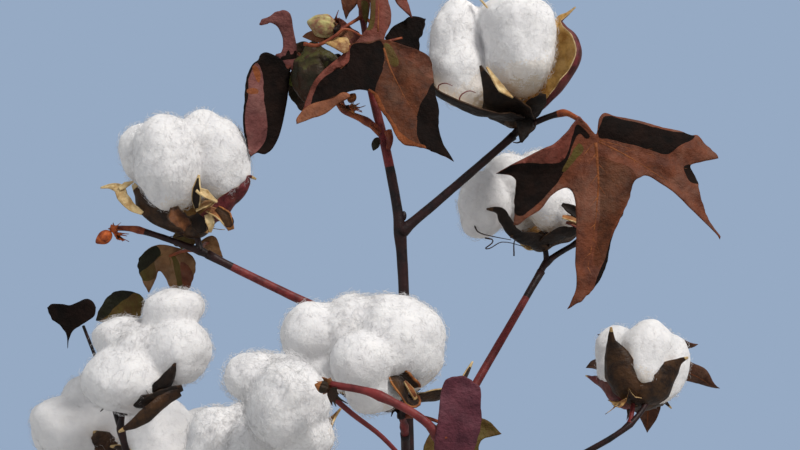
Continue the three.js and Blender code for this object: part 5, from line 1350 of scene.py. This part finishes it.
def makePiece(name, bag, recordSlot, nodes):
    points = np.concatenate(bag["points"]) * mm
    corners = np.concatenate([faces.ravel() for faces in bag["faces"]])
    sizes = np.concatenate([np.full(len(faces), faces.shape[1]) for faces in bag["faces"]])
    slots = np.concatenate([np.asarray(s) for s in bag["slots"]])
    used = sorted(set(slots.tolist()))
    mesh = bpy.data.meshes.new(name)
    mesh.vertices.add(len(points))
    mesh.vertices.foreach_set("co", points.astype(np.float32).ravel())
    mesh.loops.add(len(corners))
    mesh.loops.foreach_set("vertex_index", corners.astype(np.int32))
    mesh.polygons.add(len(sizes))
    mesh.polygons.foreach_set("loop_start", np.concatenate([[0], np.cumsum(sizes)[:-1]]).astype(np.int32))
    mesh.polygons.foreach_set("use_smooth", np.ones(len(sizes), bool))
    for number in used:
        mesh.materials.append(materials[list(slotOrder)[number]])
    mesh.polygons.foreach_set("material_index", np.array([used.index(s) for s in slots.tolist()], np.int32))
    mesh.update(calc_edges=True)
    mesh.validate()
    piece = bpy.data.objects.new(name, mesh)
    bpy.context.scene.collection.objects.link(piece)
    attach(piece, "root")
    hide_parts(*nodes)
    triangles = int((sizes - 2).sum())
    print(f"{name}: {triangles} triangles, {len(used)} finishes")
    return triangles


mottle, relief = makeMottle(), makeRelief()
materials = {name: makeMaterial(name, looks, mottle, relief) for name, looks in finishes.items()}
print("materials made")

# Grow the plant
lowerBranches = [growingBranch(order) for order in range(growingRule["count"])]
everyLine = {name: lineOf(branch) for name, branch in shownBranches.items()}
everyLine.update({branch["name"]: lineOf(branch) for branch in lowerBranches})
for branch in lowerBranches:
    own = lineOf(branch)[4:]
    others = [line for name, line in everyLine.items() if name != branch["name"]]
    branch["bolls"] = [boll for boll in branch["bolls"] if keepsSpace(bollReach(boll), own, others)]
    branch["leaves"] = [leaf for leaf in branch["leaves"] if keepsSpace(leafReach(leaf), own, others)]
kept = [sum(len(branch[kind]) for branch in lowerBranches) for kind in ("bolls", "leaves")]
print("lower branches keep", kept[0], "bolls and", kept[1], "leaves")

pieceNames = ("stemBark", "branchBark", "twigBark", "lintShown", "lintLower", "lintFibres", "burShells", "driedBracts", "leafBlades",
              "leafVeins")
bags = {name: newBag() for name in pieceNames}
for name, branch in shownBranches.items():
    branch["name"] = name
allBranches = [*shownBranches.values(), *lowerBranches]
nodeDirections = [unit(np.asarray(branch["tip"], float)[:2].tolist() + [0]) for branch in allBranches]
addStem(bags["stemBark"], [branch["root"] for branch in allBranches])
for branch in allBranches:
    shown = branch["name"] in shownBranches
    addBranch(bags["branchBark"], branch, shown)
    inside = branchPoints(branch, branchValues["steps"])[-2]
    addTwig(bags["twigBark"], inside, branch["twig"], branch["name"], shown)
for name, growth in tipTwigs.items():
    addTwig(bags["twigBark"], growth["start"], growth["twig"], name, True)
print("stem, branches and twigs grown")

nodesOf = {name: growth["twig"] for name, growth in {**shownBranches, **tipTwigs}.items()}
for number, boll in enumerate(shownBolls):
    end = boll["base"] + bollAxes(boll)[0] * 3
    addStalk(bags["twigBark"], nodesOf[boll["on"]][boll["at"]], end, twigValues["stalkRadius"] * 1.2, 0, "barkDark", 10)
    addBoll(bags, boll, number, "shown")
bollNumber, fineBolls, fineFrom = len(shownBolls), 0, 770  # lower bolls with their middles above this come into the photograph
for branch in lowerBranches:
    for boll in branch["bolls"]:
        end = boll["base"] + bollAxes(boll)[0] * 3
        addStalk(bags["twigBark"], branch["twig"][boll["at"]], end, twigValues["stalkRadius"], 0, "barkRed")
        fine = bool(boll["middle"][2] > fineFrom)
        addBoll(bags, boll, bollNumber, "fine" if fine else "plain")
        fineBolls += fine
        bollNumber += 1
print("bolls made:", bollNumber, "of them finer lower ones:", fineBolls)

for leafNumber, leaf in enumerate(shownLeaves):
    prepareLeaf(leaf, leafNumber, True)
    if leaf.get("stalk", True):
        end, slot = leaf.get("stalkTo", leaf["joint"]), "barkDark" if "stalkTo" in leaf else "barkOrange"
        addStalk(bags["twigBark"], nodesOf[leaf["on"]][leaf["at"]], end, leafValues["petioleRadius"], 1.5, slot)
    addBlade(bags["leafBlades"], bags["leafVeins"], leaf)
leafNumber = len(shownLeaves)
leafTones = ["leafRust", "leafBrown", "leafRed", "leafOlive", "leafRust", "leafPurple"]
for branch in lowerBranches:
    for leaf in branch["leaves"]:
        leaf["front"] = leafTones[int(chance(leafNumber, 3, 31) * len(leafTones))]
        prepareLeaf(leaf, leafNumber, False)
        addStalk(bags["twigBark"], branch["twig"][leaf["at"]], leaf["joint"], leafValues["petioleRadius"], 3, "barkOrange", 6)
        addBlade(bags["leafBlades"], bags["leafVeins"], leaf)
        leafNumber += 1
print("leaves made:", leafNumber)

for number, pod in enumerate(shownPods):
    addStalk(bags["twigBark"], nodesOf[pod["on"]][pod["at"]], pod["base"], podValues["stalkRadius"], 0, "barkOrange", 6)
    addPod(bags["driedBracts"], pod, number)
    addThreads(bags["twigBark"], pod, np.zeros(3), 0.6)
    for turn, reach, drop, slot in pod.get("bracts", ()):
        addBract(bags["driedBracts"], pod, turn, reach, drop, 300 + number * 7 + int(turn) % 7, slot, True)
print("pods made")

nodeNames = sorted(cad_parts)
foliageNodes = [name for name in nodeNames if name.startswith("foliage_")]
branchNodes = [name for name in nodeNames if name.startswith("branch_")]
slotsAndNodes = {"stemBark": ("stem", ["main_stem"]), "branchBark": ("branch", branchNodes), "twigBark": ("branch", foliageNodes)}
total = sum(makePiece(name, bag, *slotsAndNodes.get(name, ("foliage", foliageNodes))) for name, bag in bags.items())
print("triangles in all:", total)

# Studio: a pale floor, soft light from high on the right, and the photograph's camera
studio = {"floorRadius": 4.5, "floorTone": (205, 205, 203), "floorRough": 0.9, "background": (150, 170, 196),
          "ambient": 0.42, "ambientTone": (0.93, 0.96, 1.0, 1),
          "key": {"place": (0.95, -1.13, 2.66), "target": (0, 0, 0.9), "size": 0.5, "power": 40, "tone": (1.0, 0.97, 0.93)},
          "fill": {"place": (-1.6, -1.2, 1.2), "target": (0, 0, 0.8), "size": 2.0, "power": 4, "tone": (0.92, 0.96, 1.0)}}
view = {"place": (0, -0.589, 0.88), "lens": 50, "sensor": 36, "focalPixels": 1111.1, "pixelsUp": 55}


def makeStudio():
    work = bmesh.new()
    bmesh.ops.create_circle(work, cap_ends=True, segments=96, radius=studio["floorRadius"])
    mesh = bpy.data.meshes.new("studioFloor")
    work.to_mesh(mesh)
    work.free()
    floor = bpy.data.objects.new("studioFloor", mesh)
    bpy.context.scene.collection.objects.link(floor)
    material = bpy.data.materials.new("studioFloor")
    material.use_nodes = True
    setInputs(material.node_tree.nodes["Principled BSDF"], {"Base Color": seen(studio["floorTone"]), "Roughness": studio["floorRough"]})
    mesh.materials.append(material)


def makeLight(name, values):
    light = bpy.data.lights.new(name, "AREA")
    light.shape, light.size = "DISK", values["size"]
    light.energy, light.color = values["power"], values["tone"]
    lamp = bpy.data.objects.new(name, light)
    lamp.location = values["place"]
    direction = Vector(values["target"]) - Vector(values["place"])
    lamp.rotation_euler = direction.to_track_quat("-Z", "Y").to_euler()
    bpy.context.scene.collection.objects.link(lamp)


def makeWorld():  # a pale blue background to look at, and a softer light from it
    world = bpy.data.worlds.new("studio")
    bpy.context.scene.world = world
    world.use_nodes = True
    tree = world.node_tree
    shown = tree.nodes["Background"]
    setInputs(shown, {"Color": seen(studio["background"])})
    lighting = newNode(tree, "Background", {"Color": studio["ambientTone"], "Strength": studio["ambient"]})
    path, mixing = newNode(tree, "LightPath"), newNode(tree, "MixShader")
    linkAll(tree, [(path, "Is Camera Ray", mixing, "Fac"), (lighting, 0, mixing, 1), (shown, 0, mixing, 2),
                   (mixing, 0, tree.nodes["World Output"], "Surface")])


makeStudio()
makeLight("keyLight", studio["key"])
makeLight("fillLight", studio["fill"])
makeWorld()
camera = bpy.data.objects.new("camera", bpy.data.cameras.new("camera"))
camera.data.lens, camera.data.sensor_width = view["lens"], view["sensor"]
camera.location = view["place"]
camera.rotation_euler = (math.radians(90) + math.atan(view["pixelsUp"] / view["focalPixels"]), 0, 0)
bpy.context.scene.collection.objects.link(camera)
bpy.context.scene.camera = camera
bpy.context.scene.view_settings.view_transform = "Standard"
print("studio made")
